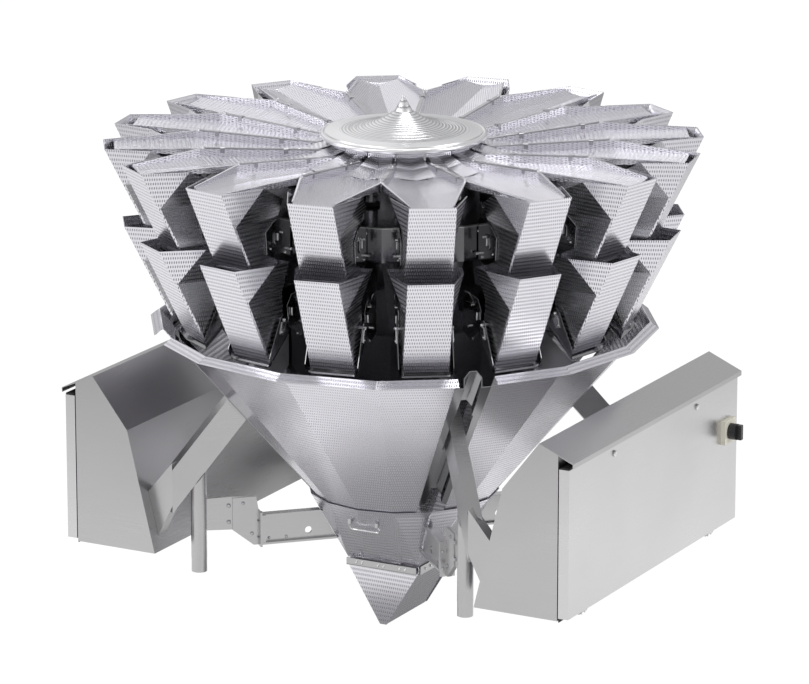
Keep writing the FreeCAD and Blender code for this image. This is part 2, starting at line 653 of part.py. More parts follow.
def make_quarter_cone(name, turn):
    """A quarter of the collecting cone, folded into four flats, with a rim turned outwards."""
    label = f"{name}_cone"
    body = new_body(label)
    slope = "((ring_radius - chute_foot) / (ring_level - chute_foot_level))"
    thick = f"(chute_sheet * sqrt(1 + {slope}^2))"
    walls = []
    for part, level, radius, gap in (("rim", "ring_level", "ring_radius", "gap_rim_half"),
                                     ("foot", "chute_foot_level", "chute_foot", "gap_foot_half")):
        sketch = new_sketch(body, f"{label}_{part}", "XY_Plane", level)
        add_outline(sketch, rim_points(radius, gap) + rim_points(radius, gap, thick)[::-1])
        walls.append(sketch)
    loft(body, f"{label}_wall", walls)
    flange = []
    for part, drop, out in (("root", "0", "0"), ("edge", "ring_flange_drop", "ring_flange")):
        sketch = new_sketch(body, f"{label}_flange_{part}", "XY_Plane", f"ring_level - {drop}")
        outer = rim_points("ring_radius", "gap_rim_half", f"-({out})")
        inner = rim_points("ring_radius", "gap_rim_half", f"{thick} - ({out})")
        add_outline(sketch, outer + inner[::-1])
        flange.append(sketch)
    loft(body, f"{label}_flange", flange)
    slits = new_sketch(body, f"{label}_slit_plan", "XY_Plane", "ring_level - ring_flange_drop - 5")
    for step in ("-1", "0", "1"):
        angle = f"{step} * 360 / heads"
        near = "(ring_radius + 4)"
        far = "(ring_radius + ring_flange + 12)"
        half = "ring_slit / 2"
        corners = []
        for radius, sign in ((near, "-1"), (far, "-1"), (far, "1"), (near, "1")):
            corners.append((f"{radius} * cos({angle}) - {sign} * {half} * sin({angle})",
                            f"{radius} * sin({angle}) + {sign} * {half} * cos({angle})"))
        add_outline(slits, corners)
    pocket(body, f"{label}_slits", slits, "ring_flange_drop + 10", backwards=True)
    body.Placement = FreeCAD.Placement(FreeCAD.Vector(), FreeCAD.Rotation(FreeCAD.Vector(0, 0, 1), turn))
    return body


RIM_EDGE = "(ring_radius - gap_rim_half * tan(180 / heads))"
FOOT_EDGE = "(chute_foot - gap_foot_half * tan(180 / heads))"


def make_ridges():
    """The four hat-shaped dividers in the gaps between the quarter cones, open round the arms."""
    body = new_body("divider_ridges")
    sketches = []
    wall = "chute_sheet"
    for name, place in (("rim", f"({RIM_EDGE} - ridge_setback)"), ("foot", f"({FOOT_EDGE} + ridge_setback)")):
        run = f"(({place} - {FOOT_EDGE}) / ({RIM_EDGE} - {FOOT_EDGE}))"
        base = f"(chute_foot_level + (ring_level - chute_foot_level) * {run})"
        edge = f"(gap_foot_half + (gap_rim_half - gap_foot_half) * {run} - joint_gap)"
        shoulder = f"{base} + ridge_rise"
        top = f"{shoulder} + ridge_slope_rise"
        sketch = new_sketch(body, f"ridge_{name}", "YZ_Plane", place)
        outer = [(edge, base), ("ridge_half", base), ("ridge_half", shoulder), ("ridge_flat_half", top)]
        inner = [(edge, f"{base} - {wall}"), (f"ridge_half - {wall}", f"{base} - {wall}"),
                 (f"ridge_half - {wall}", f"{shoulder} - {wall} * 0.5"),
                 (f"ridge_flat_half - {wall} * 0.5", f"{top} - {wall}")]
        add_outline(sketch, mirrored(outer) + [(f"-({across})", up) for across, up in inner] + inner[::-1])
        sketches.append(sketch)
    roof = loft(body, "ridge_roof", sketches)
    slot = new_sketch(body, "arm_slot", "XZ_Plane")
    under_inside, under_outside = upper_run("arm_depth / 2 + arm_slot_gap", "column_waist", "ridge_end")[:2]
    add_outline(slot, [under_inside, under_outside, ("ridge_end", "ring_level"), (under_inside[0], "ring_level + 1")])
    cut = pocket(body, "ridge_slot", slot, "(gap_foot_half - ridge_wing) * 2", both_ways=True)
    ring_pattern(body, "ridge_ring", [roof, cut], "quarters")
    body.Placement = FreeCAD.Placement(FreeCAD.Vector(), FreeCAD.Rotation(FreeCAD.Vector(0, 0, 1), 45))
    return body


def make_funnel():
    """The outlet funnel: many-sided above, square below, of one thickness."""
    body = new_body("outlet_funnel")
    for side, wall in (("outside", "0"), ("inside", "chute_sheet")):
        top = new_sketch(body, f"funnel_top_{side}", "XY_Plane", "funnel_top_level")
        add_outline(top, [polar(f"(funnel_top - {wall} * 1.05)", f"{step} * 360 / heads") for step in range(16)])
        foot = new_sketch(body, f"funnel_foot_{side}", "XY_Plane", "funnel_foot_level")
        across, along = f"(funnel_foot_x - {wall})", f"(funnel_foot_y - {wall})"
        corners = []
        for step in range(16):
            sides = {0: (1, 0), 1: (1, 0.5), 2: (1, 1), 3: (0.5, 1), 4: (0, 1)}
            quarter, rest = divmod(step, 4)
            one, two = sides[rest] if quarter % 2 == 0 else sides[4 - rest]
            sign_x = 1 if quarter in (0, 3) else -1
            sign_y = 1 if quarter in (0, 1) else -1
            corners.append((f"{across} * {one * sign_x}", f"{along} * {two * sign_y}"))
        add_outline(foot, corners)
        loft(body, f"funnel_{side}", [top, foot], cut=side == "inside")
    return body


def make_outlet_cheeks():
    """The two three-cornered plates that close the outlet's ends."""
    body = new_body("outlet_cheeks")
    for name, place, turned in (("front", "-1 * funnel_foot_y", False), ("back", "funnel_foot_y", True)):
        sketch = new_sketch(body, f"{name}_cheek_outline", "XZ_Plane", f"-1 * ({place})")
        add_outline(sketch, [("-1 * funnel_foot_x", "funnel_foot_level - joint_gap"),
                             ("-1 * funnel_foot_x", "funnel_foot_level - flap_pin_drop - flap_eye"),
                             ("-1 * flap_meet_gap * 2", "funnel_foot_level - outlet_depth"),
                             ("flap_meet_gap * 2", "funnel_foot_level - outlet_depth"),
                             ("funnel_foot_x", "funnel_foot_level - flap_pin_drop - flap_eye"),
                             ("funnel_foot_x", "funnel_foot_level - joint_gap")])
        pad(body, f"{name}_cheek", sketch, "cheek_sheet", backwards=not turned)
    return body


FLAP_PIN_X = "(funnel_foot_x - flap_pin_inset)"
FLAP_PIN_LEVEL = "(funnel_foot_level - flap_pin_drop)"
FLAP_HALF = "(funnel_foot_y - cheek_sheet - flap_side_gap)"


def make_flap_rods():
    """The two hinge rods that run from cheek to cheek."""
    body = new_body("flap_rods")
    for side, sign in (("left", "-1"), ("right", "1")):
        sketch = new_sketch(body, f"{side}_rod_outline", "XZ_Plane")
        add_circle(sketch, f"{sign} * {FLAP_PIN_X}", FLAP_PIN_LEVEL, "flap_pin")
        pad(body, f"{side}_rod", sketch, "(funnel_foot_y - cheek_sheet) * 2", both_ways=True)
    return body


def make_flap(side, turn):
    """A sloping outlet flap that hangs on a tube round its rod."""
    name = f"outlet_flap_{side}"
    body = new_body(name)
    tube = new_sketch(body, f"{name}_tube_outline", "XZ_Plane")
    add_circle(tube, FLAP_PIN_X, FLAP_PIN_LEVEL, "flap_eye")
    pad(body, f"{name}_tube", tube, f"{FLAP_HALF} * 2", both_ways=True)
    plate = new_sketch(body, f"{name}_plate_outline", "XZ_Plane")
    low = "(funnel_foot_level - outlet_depth)"
    add_outline(plate, [(f"{FLAP_PIN_X} - flap_sheet", f"{FLAP_PIN_LEVEL} - flap_eye * 0.7"),
                        (f"{FLAP_PIN_X} + flap_sheet", f"{FLAP_PIN_LEVEL} - flap_eye * 0.7"),
                        ("flap_meet_gap / 2 + flap_sheet * 1.6", f"{low} - 1"),
                        ("flap_meet_gap / 2", f"{low} - 1")])
    pad(body, f"{name}_plate", plate, f"{FLAP_HALF} * 2", both_ways=True)
    bore = new_sketch(body, f"{name}_bore_outline", "XZ_Plane")
    add_circle(bore, FLAP_PIN_X, FLAP_PIN_LEVEL, "flap_pin + pin_play")
    pocket(body, f"{name}_bore", bore, f"{FLAP_HALF} * 2 + 4", both_ways=True)
    body.Placement = FreeCAD.Placement(FreeCAD.Vector(), FreeCAD.Rotation(FreeCAD.Vector(0, 0, 1), turn))
    return body


# ---------------------------------------------------------------- posts, arms and braces

CORNERS = (("front_right", 1, -1, -45), ("back_right", 1, 1, 45),
           ("back_left", -1, 1, 135), ("front_left", -1, -1, -135))
WALL_LEAN = "((cabinet_elbow - cabinet_back) / (cabinet_elbow_level - cabinet_foot_level))"


def turned_sketch(body, name, turn):
    """A sketch in the upright plane through the Z axis that is turned by an angle."""
    sketch = new_sketch(body, name, "XZ_Plane")
    sketch.AttachmentOffset = FreeCAD.Placement(FreeCAD.Vector(), FreeCAD.Rotation(FreeCAD.Vector(0, 1, 0), turn))
    return sketch


def upper_run(half_depth, inner_place, outer_place):
    """Outline of an arm's upper run in its own plane, from the column outwards."""
    middle = "(arm_knee_level + (arm_knee_place - ({0})) * tan(arm_slope))".format
    tall = f"(({half_depth}) / cos(arm_slope))"
    return [(inner_place, f"{middle(inner_place)} - {tall}"), (outer_place, f"{middle(outer_place)} - {tall}"),
            (outer_place, f"{middle(outer_place)} + {tall}"), (inner_place, f"{middle(inner_place)} + {tall}")]


def lower_run(side_x):
    """Outline of an arm's lower run, from its knee to the leaning wall of the cabinet."""
    tall = "(arm_depth / 2 / cos(arm_slope))"
    knee = "(arm_knee_place / sqrt(2))"
    foot = f"(cabinet_back + (arm_foot_level - cabinet_foot_level) * {WALL_LEAN} - joint_gap)"
    start = f"({knee} - arm_half * tan(22.5))"
    start_level = f"(arm_foot_level + (arm_knee_level - arm_foot_level) * ({foot} - {start}) / ({foot} - {knee}))"
    corners = [(start, f"{start_level} - {tall}"), (f"{foot} - {WALL_LEAN} * {tall}", f"arm_foot_level - {tall}"),
               (f"{foot} + {WALL_LEAN} * {tall}", f"arm_foot_level + {tall}"), (start, f"{start_level} + {tall}")]
    return [(f"{side_x} * ({across})", up) for across, up in corners]


def make_arms():
    """Four arms from the column, down through the gaps and out to the cabinets' walls."""
    body = new_body("support_arms")
    for name, side_x, side_y, turn in CORNERS:
        upper = turned_sketch(body, f"{name}_upper_outline", turn)
        add_outline(upper, upper_run("arm_depth / 2", "(column_waist + joint_gap)",
                                     "(arm_knee_place + arm_half * tan(22.5))"))
        pad(body, f"{name}_upper_run", upper, "arm_half * 2", both_ways=True)
        lower = new_sketch(body, f"{name}_lower_outline", "XZ_Plane", f"{-side_y} * arm_knee_place / sqrt(2)")
        add_outline(lower, lower_run(side_x))
        pad(body, f"{name}_lower_run", lower, "arm_half * 2", both_ways=True)
    return body


def make_posts():
    """Four round posts, cut aslant where they meet the arms."""
    body = new_body("support_posts")
    spigots = new_sketch(body, "spigot_outline")
    rounds = new_sketch(body, "post_outline", "XY_Plane", "spigot_height")
    for _, side_x, side_y, _ in CORNERS:
        add_circle(spigots, f"{side_x} * post_x", f"{side_y} * post_y", "post_radius - spigot_step")
        add_circle(rounds, f"{side_x} * post_x", f"{side_y} * post_y", "post_radius")
    pad(body, "post_spigots", spigots, "spigot_height")
    pad(body, "post_bars", rounds, "post_top_level - spigot_height")
    for name, _, _, turn in CORNERS:
        cut = turned_sketch(body, f"{name}_post_cut", turn)
        add_outline(cut, upper_run("arm_depth / 2 + joint_gap", "column_waist", "(arm_knee_place + 60)"))
        pocket(body, f"{name}_post_top", cut, "post_radius * 4", both_ways=True)
    return body


def make_braces():
    """Four braces from the posts to the funnel: a stepped plate, an end plate and a channel."""
    body = new_body("funnel_braces")
    foot_corner = "sqrt(funnel_foot_x^2 + funnel_foot_y^2)"
    steep = f"((funnel_top - {foot_corner}) / (funnel_top_level - funnel_foot_level))"
    wall = "(" + foot_corner + f" + ({{0}} - funnel_foot_level) * {steep} + joint_gap * 1.5)"
    post = "(sqrt(post_x^2 + post_y^2) - post_radius - joint_gap)"
    channel_top = "(brace_foot + brace_depth)"
    outer = new_sketch(body, "outer_plate_outline", "XZ_Plane")
    step = "(brace_joint + 80)"
    add_outline(outer, [(post, "brace_top"), (step, "brace_top"), ("brace_joint + 8", "brace_top - 4"),
                        ("brace_joint", "brace_top - 48"), ("brace_joint", "brace_foot"),
                        ("brace_joint + 16", "brace_foot"), (f"{step} - 6", "brace_top - 96"),
                        (post, "brace_top - 92")])
    features = [pad(body, "outer_plate", outer, "brace_plate", both_ways=True)]
    inner = new_sketch(body, "inner_plate_outline", "XZ_Plane")
    add_outline(inner, [(f"{step} - 4", "brace_top - 4"), ("brace_joint + 8", "brace_top - 4"),
                        ("brace_joint", "brace_top - 48"), ("brace_joint", "brace_foot"),
                        ("brace_joint + 16", "brace_foot"), (f"{step} - 4", "brace_top - 97")])
    features.append(pad(body, "inner_plate", inner, "brace_plate * 2", both_ways=True))
    end = new_sketch(body, "end_plate_outline", "XZ_Plane")
    add_outline(end, [("brace_joint", "brace_foot - 4"), ("brace_joint", f"{channel_top} + 8"),
                      ("brace_joint - brace_plate", f"{channel_top} + 8"),
                      ("brace_joint - brace_plate", "brace_foot - 4")])
    features.append(pad(body, "end_plate", end, "brace_half * 3", both_ways=True))
    web = new_sketch(body, "channel_web_outline", "XZ_Plane")
    add_outline(web, [(wall.format("brace_foot"), "brace_foot"), ("brace_joint - 1", "brace_foot"),
                      ("brace_joint - 1", channel_top), (wall.format(channel_top), channel_top)])
    add_circle(web, "brace_hole_place", "brace_foot + brace_depth / 3", "brace_hole")
    features.append(pad(body, "channel_web", web, "brace_plate", both_ways=True))
    for name, level in (("lower", "brace_foot"), ("upper", f"({channel_top} - brace_plate)")):
        high = f"({level} + brace_plate)"
        flange = new_sketch(body, f"{name}_flange_outline", "XZ_Plane")
        add_outline(flange, [(wall.format(level), level), ("brace_joint - 1", level),
                             ("brace_joint - 1", high), (wall.format(high), high)])
        features.append(pad(body, f"{name}_flange", flange, "brace_half * 2", both_ways=True))
    ring_pattern(body, "brace_ring", features, "quarters")
    body.Placement = FreeCAD.Placement(FreeCAD.Vector(), FreeCAD.Rotation(FreeCAD.Vector(0, 0, 1), 45))
    return body


# ---------------------------------------------------------------- cabinets

def turned_half(body, side):
    """Puts a piece drawn on the +X side on its own side of the machine."""
    turn = {"right": 0, "left": 180}[side]
    body.Placement = FreeCAD.Placement(FreeCAD.Vector(), FreeCAD.Rotation(FreeCAD.Vector(0, 0, 1), turn))
    return body


def roof_level(place):
    """Height of the roof's upper side at some distance from the middle."""
    fall = "(cabinet_ridge_level - hood_level) / (hood_reach - cabinet_ridge)"
    return f"(cabinet_ridge_level - (({place}) - cabinet_ridge) * {fall})"


def make_cabinet_shell(side):
    """A folded cabinet with a sloping back, a pitched roof with a lip, and an open front."""
    name = f"{side}_cabinet_shell"
    body = new_body(name)
    outline = new_sketch(body, f"{name}_outline", "XZ_Plane")
    add_outline(outline, [("cabinet_back", "cabinet_foot_level"), ("cabinet_front", "cabinet_foot_level"),
                          ("cabinet_front", roof_level("cabinet_front")),
                          ("cabinet_ridge", "cabinet_ridge_level"),
                          ("cabinet_elbow", "cabinet_elbow_level")])
    pad(body, f"{name}_block", outline, "cabinet_half * 2", both_ways=True)
    inside = new_sketch(body, f"{name}_inside", "XZ_Plane")
    wall = "cabinet_sheet"
    add_outline(inside, [(f"cabinet_back + {wall} * 1.4", f"cabinet_foot_level + {wall}"),
                         (f"cabinet_front - {wall}", f"cabinet_foot_level + {wall}"),
                         (f"cabinet_front - {wall}", f"{roof_level('cabinet_front')} - {wall} * 1.2"),
                         ("cabinet_ridge", f"cabinet_ridge_level - {wall} * 1.6"),
                         (f"cabinet_elbow + {wall} * 1.15", f"cabinet_elbow_level - {wall} * 0.4")])
    pocket(body, f"{name}_hollow", inside, f"(cabinet_half - {wall}) * 2", both_ways=True)
    opening = new_sketch(body, f"{name}_opening", "YZ_Plane", f"cabinet_front - {wall} * 2")
    long, low, high = "cabinet_half - frame_border", "door_foot_level + frame_border", "door_top_level - frame_border"
    add_outline(opening, [(f"-({long})", low), (long, low), (long, high), (f"-({long})", high)])
    pocket(body, f"{name}_doorway", opening, f"{wall} * 4", backwards=True)
    hood = new_sketch(body, f"{name}_hood_outline", "XZ_Plane")
    add_outline(hood, [("cabinet_front - 0.5", roof_level("cabinet_front - 0.5")),
                       ("hood_reach", roof_level("hood_reach")),
                       ("hood_reach", "hood_level - hood_lip"),
                       (f"hood_reach - {wall}", "hood_level - hood_lip"),
                       (f"hood_reach - {wall}", f"{roof_level(f'hood_reach - {wall}')} - {wall}"),
                       ("cabinet_front - 0.5", f"{roof_level('cabinet_front - 0.5')} - {wall}")])
    pad(body, f"{name}_hood", hood, "cabinet_half * 2", both_ways=True)
    return turned_half(body, side)


HINGE_SIDES = (("near", "-1"), ("far", "1"))


def make_cabinet_door(side):
    """A folded door tray with two hinge knuckles below."""
    name = f"{side}_cabinet_door"
    body = new_body(name)
    back = "cabinet_front + door_gap"
    for part, inset, depth, start in (("block", "0", "door_depth", back),
                                      ("hollow", "cabinet_sheet", "door_depth - cabinet_sheet", back)):
        sketch = new_sketch(body, f"{name}_{part}_outline", "YZ_Plane", start)
        long, low, high = f"cabinet_half - {inset}", f"door_foot_level + {inset}", f"door_top_level - {inset}"
        add_outline(sketch, [(f"-({long})", low), (long, low), (long, high), (f"-({long})", high)])
        if part == "block":
            pad(body, f"{name}_block", sketch, depth)
        else:
            pocket(body, f"{name}_hollow", sketch, depth, backwards=True)
    for spot, sign in HINGE_SIDES:
        place = f"{sign} * hinge_spread"
        knuckle = new_sketch(body, f"{name}_{spot}_knuckle_outline", "XZ_Plane", f"-1 * {place} - hinge_width / 2")
        add_circle(knuckle, "hinge_place", "hinge_level", "hinge_eye")
        pad(body, f"{name}_{spot}_knuckle", knuckle, "hinge_width")
        leaf = new_sketch(body, f"{name}_{spot}_leaf_outline", "XZ_Plane", f"-1 * {place} - hinge_width / 2")
        add_outline(leaf, [("hinge_place - hinge_pin", "hinge_level + hinge_pin + 1"),
                           ("hinge_place + hinge_pin", "hinge_level + hinge_pin + 1"),
                           ("hinge_place + hinge_pin", "door_foot_level + cabinet_sheet / 2"),
                           ("hinge_place - hinge_pin", "door_foot_level + cabinet_sheet / 2")])
        pad(body, f"{name}_{spot}_leaf", leaf, "hinge_width")
        eye = new_sketch(body, f"{name}_{spot}_eye_outline", "XZ_Plane", f"-1 * {place} + hinge_width")
        add_circle(eye, "hinge_place", "hinge_level", "hinge_pin + pin_play")
        pocket(body, f"{name}_{spot}_eye", eye, "hinge_width * 2")
    return turned_half(body, side)


def make_cabinet_hinges(side):
    """Two hinge brackets under a cabinet, each with two lugs and a pin between them."""
    name = f"{side}_cabinet_hinges"
    body = new_body(name)
    for spot, sign in HINGE_SIDES:
        place = f"{sign} * hinge_spread"
        for lug, shift in (("first", "hinge_width / 2 + 1"), ("second", "-1 * hinge_width / 2 - 1 - hinge_eye")):
            sketch = new_sketch(body, f"{name}_{spot}_{lug}_outline", "XZ_Plane", f"-1 * ({place}) + {shift}")
            add_outline(sketch, [("hinge_place - hinge_eye * 6", "cabinet_foot_level"),
                                 ("hinge_place - hinge_eye * 6", "cabinet_foot_level - hinge_eye"),
                                 ("hinge_place - hinge_eye / 2", "hinge_level - hinge_eye"),
                                 ("hinge_place + hinge_eye / 2", "hinge_level - hinge_eye"),
                                 ("hinge_place + hinge_eye", "hinge_level"),
                                 ("hinge_place + hinge_eye / 2", "cabinet_foot_level")])
            pad(body, f"{name}_{spot}_{lug}_lug", sketch, "hinge_eye")
        pin = new_sketch(body, f"{name}_{spot}_pin_outline", "XZ_Plane", f"-1 * ({place}) - hinge_width / 2 - 2")
        add_circle(pin, "hinge_place", "hinge_level", "hinge_pin")
        pad(body, f"{name}_{spot}_pin", pin, "hinge_width + 4")
    return turned_half(body, side)


DOOR_FACE = "(cabinet_front + door_gap + door_depth)"


def make_door_locks(side):
    """The two quarter-turn locks near a door's top edge."""
    name = f"{side}_door_locks"
    body = new_body(name)
    sketch = new_sketch(body, f"{name}_outline", "YZ_Plane", DOOR_FACE)
    for _, sign in HINGE_SIDES:
        add_circle(sketch, f"{sign} * lock_spread", "lock_level", "lock_radius")
    pad(body, f"{name}_faces", sketch, "lock_proud")
    return turned_half(body, side)


def make_switch_base():
    """The square base of the main switch, with the spindle of its knob."""
    body = new_body("main_switch_base")
    plate = new_sketch(body, "switch_plate_outline", "YZ_Plane", DOOR_FACE)
    low, high = "switch_y - switch_size / 2", "switch_y + switch_size / 2"
    down, up = "switch_level - switch_size / 2", "switch_level + switch_size / 2"
    add_outline(plate, [(low, down), (high, down), (high, up), (low, up)])
    pad(body, "switch_plate", plate, "switch_proud")
    spindle = new_sketch(body, "switch_spindle_outline", "YZ_Plane", f"{DOOR_FACE} + switch_proud")
    add_circle(spindle, "switch_y", "switch_level", "knob_spindle")
    pad(body, "switch_spindle", spindle, "knob_length / 2")
    return body


def make_switch_knob():
    """The round knob of the main switch, with a grip across it."""
    body = new_body("main_switch_knob")
    start = f"{DOOR_FACE} + switch_proud + joint_gap"
    skirt = new_sketch(body, "knob_outline", "YZ_Plane", start)
    add_circle(skirt, "switch_y", "switch_level", "knob_radius")
    pad(body, "knob_skirt", skirt, "knob_length")
    grip = new_sketch(body, "grip_outline", "YZ_Plane", f"{start} + knob_length")
    across, tall = "knob_grip / 2", "knob_radius * 0.92"
    add_outline(grip, [(f"switch_y - {across}", f"switch_level - {tall}"),
                       (f"switch_y + {across}", f"switch_level - {tall}"),
                       (f"switch_y + {across}", f"switch_level + {tall}"),
                       (f"switch_y - {across}", f"switch_level + {tall}")])
    pad(body, "knob_bar", grip, "knob_grip_proud")
    bore = new_sketch(body, "knob_bore_outline", "YZ_Plane", start)
    add_circle(bore, "switch_y", "switch_level", "knob_spindle + pin_play")
    pocket(body, "knob_bore", bore, "knob_length / 2 + 2", backwards=True)
    return body


# ---------------------------------------------------------------- the whole machine

PIECES = [make_spun_cone(), make_cone_spindle(), make_column(), make_pans(), make_stands(),
          make_pool_hoppers(), make_pool_gates(), make_weigh_hoppers(), make_pool_brackets(),
          make_weigh_brackets()]
PIECES += [make_weigh_gate(number) for number in range(int(value("heads")))]
PIECES += [make_quarter_cone(name, turn) for name, turn in QUARTERS]
PIECES += [make_ridges(), make_funnel(), make_outlet_cheeks(), make_flap_rods(),
           make_flap("right", 0), make_flap("left", 180), make_arms(), make_posts(), make_braces()]
for cabinet in ("right", "left"):
    PIECES += [make_cabinet_shell(cabinet), make_cabinet_door(cabinet), make_cabinet_hinges(cabinet),
               make_door_locks(cabinet)]
PIECES += [make_switch_base(), make_switch_knob()]

DOC.recompute()
for thing in DOC.Objects:
    if "Invalid" in thing.State or "Error" in thing.State:
        raise RuntimeError(f"{thing.Name} did not build: {thing.State}")
for piece in PIECES:
    if piece.Shape.isNull() or not piece.Shape.isValid() or not piece.Shape.Solids:
        raise RuntimeError(f"{piece.Label} has no valid solid")



def straightened(edge):
    """An edge that runs straight, as a line, whatever its curve's kind."""
    ends = [corner.Point for corner in edge.Vertexes]
    if len(ends) == 2 and abs(edge.Length - ends[0].distanceToPoint(ends[1])) < 1e-5:
        return Part.makeLine(ends[0], ends[1])
    return edge


def flat_pieces(face):
    """A face between two sections of a loft as a plane, or as two where it is a little twisted."""
    wires = [Part.Wire([straightened(edge) for edge in wire.OrderedEdges]) for wire in face.Wires]
    try:
        return [Part.makeFace(wires, "Part::FaceMakerBullseye")]
    except RuntimeError:
        corners = [corner.Point for corner in face.OuterWire.OrderedVertexes]
        halves = [Part.makePolygon([corners[0], *corners[step:step + 2], corners[0]])
                  for step in range(1, len(corners) - 1)]
        return [Part.Face(half) for half in halves]


def flat_faced(solid):
    """The same solid, where each face between two sections of a loft is held as a plane."""
    faces = []
    for face in solid.Faces:
        faces += flat_pieces(face) if isinstance(face.Surface, Part.BSplineSurface) else [face]
    shell = Part.Shell(faces)
    shell.sewShape()
    whole = Part.Solid(shell)
    if whole.Volume < 0:
        whole.reverse()
    return whole


os.makedirs("parts", exist_ok=True)
for piece in PIECES:
    solids = piece.Shape.Solids
    if any(isinstance(face.Surface, Part.BSplineSurface) for face in piece.Shape.Faces):
        solids = [flat_faced(solid) for solid in solids]
    shape = solids[0] if len(solids) == 1 else Part.makeCompound(solids)
    if not shape.isValid() or abs(shape.Volume - piece.Shape.Volume) > 1e-3 * piece.Shape.Volume:
        raise RuntimeError(f"{piece.Label} changed when its flat faces were made planes")
    shape.exportStep(f"parts/{piece.Label}.step")
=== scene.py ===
import math

import bmesh
import bpy
from mathutils import Matrix, Vector


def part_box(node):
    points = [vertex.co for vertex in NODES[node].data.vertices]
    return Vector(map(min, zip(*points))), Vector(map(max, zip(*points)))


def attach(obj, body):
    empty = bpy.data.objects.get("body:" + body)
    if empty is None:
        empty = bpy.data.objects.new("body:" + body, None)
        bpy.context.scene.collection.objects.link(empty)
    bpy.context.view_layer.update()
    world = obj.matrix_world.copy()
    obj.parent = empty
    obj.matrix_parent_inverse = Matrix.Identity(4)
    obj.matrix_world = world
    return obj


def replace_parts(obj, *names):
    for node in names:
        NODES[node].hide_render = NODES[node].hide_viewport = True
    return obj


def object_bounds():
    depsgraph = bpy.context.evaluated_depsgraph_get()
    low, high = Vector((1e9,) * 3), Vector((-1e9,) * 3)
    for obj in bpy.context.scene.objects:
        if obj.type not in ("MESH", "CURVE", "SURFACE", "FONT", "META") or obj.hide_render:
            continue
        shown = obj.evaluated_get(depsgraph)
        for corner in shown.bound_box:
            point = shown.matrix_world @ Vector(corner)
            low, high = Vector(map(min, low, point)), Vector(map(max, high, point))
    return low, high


bl_info = {
    "name": "Multihead weigher looks",
    "version": (1, 0, 0),
    "blender": (4, 5, 0),
    "location": "3D View > Sidebar > Weigher",
    "description": "Dresses the packed weigher frame with sheet-metal finishes, fasteners and fittings",
    "category": "Object",
}

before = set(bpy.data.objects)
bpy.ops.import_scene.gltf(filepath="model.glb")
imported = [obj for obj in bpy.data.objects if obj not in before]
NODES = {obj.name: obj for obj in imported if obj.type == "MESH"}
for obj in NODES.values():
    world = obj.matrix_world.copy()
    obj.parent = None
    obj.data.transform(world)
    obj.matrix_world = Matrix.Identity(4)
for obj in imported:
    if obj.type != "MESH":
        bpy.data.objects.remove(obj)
CAD_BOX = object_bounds()

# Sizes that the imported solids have, in metres. A head's own frame has X outwards, Y to its
# left and Z up, so a place in it is (distance from the middle, sideways, height).
HEADS = 16
PITCH = 2 * math.pi / HEADS
POOL_HALF = 0.065
WEIGH_HALF = 0.064
GATE_HALF = 0.075
GATE_PIVOT = (0.5925, 0.813)
COLUMN_FACE = 0.566 * math.cos(PITCH / 2)
SHEET = 0.003


# ---------------------------------------------------------------- node writing

class Wire:
    """A node output that takes part in plain arithmetic."""

    def __init__(self, paint, socket):
        self.paint = paint
        self.socket = socket

    def maths(self, operation, *others):
        inputs = dict(enumerate((self, *others)))
        return self.paint.node("ShaderNodeMath", {"operation": operation}, inputs)["Value"]

    def __add__(self, other):
        return self.maths("ADD", other)

    def __sub__(self, other):
        return self.maths("SUBTRACT", other)

    def __rsub__(self, other):
        return self.paint.node("ShaderNodeMath", {"operation": "SUBTRACT"}, {0: other, 1: self})["Value"]

    def __mul__(self, other):
        return self.maths("MULTIPLY", other)

    def __truediv__(self, other):
        return self.maths("DIVIDE", other)

    def __lt__(self, other):
        return self.maths("LESS_THAN", other)

    def __gt__(self, other):
        return self.maths("GREATER_THAN", other)

    __radd__ = __add__
    __rmul__ = __mul__


class Outputs:
    """The outputs of one node, each by its name."""

    def __init__(self, paint, made):
        self.paint = paint
        self.made = made

    def __getitem__(self, name):
        return Wire(self.paint, self.made.outputs[name])


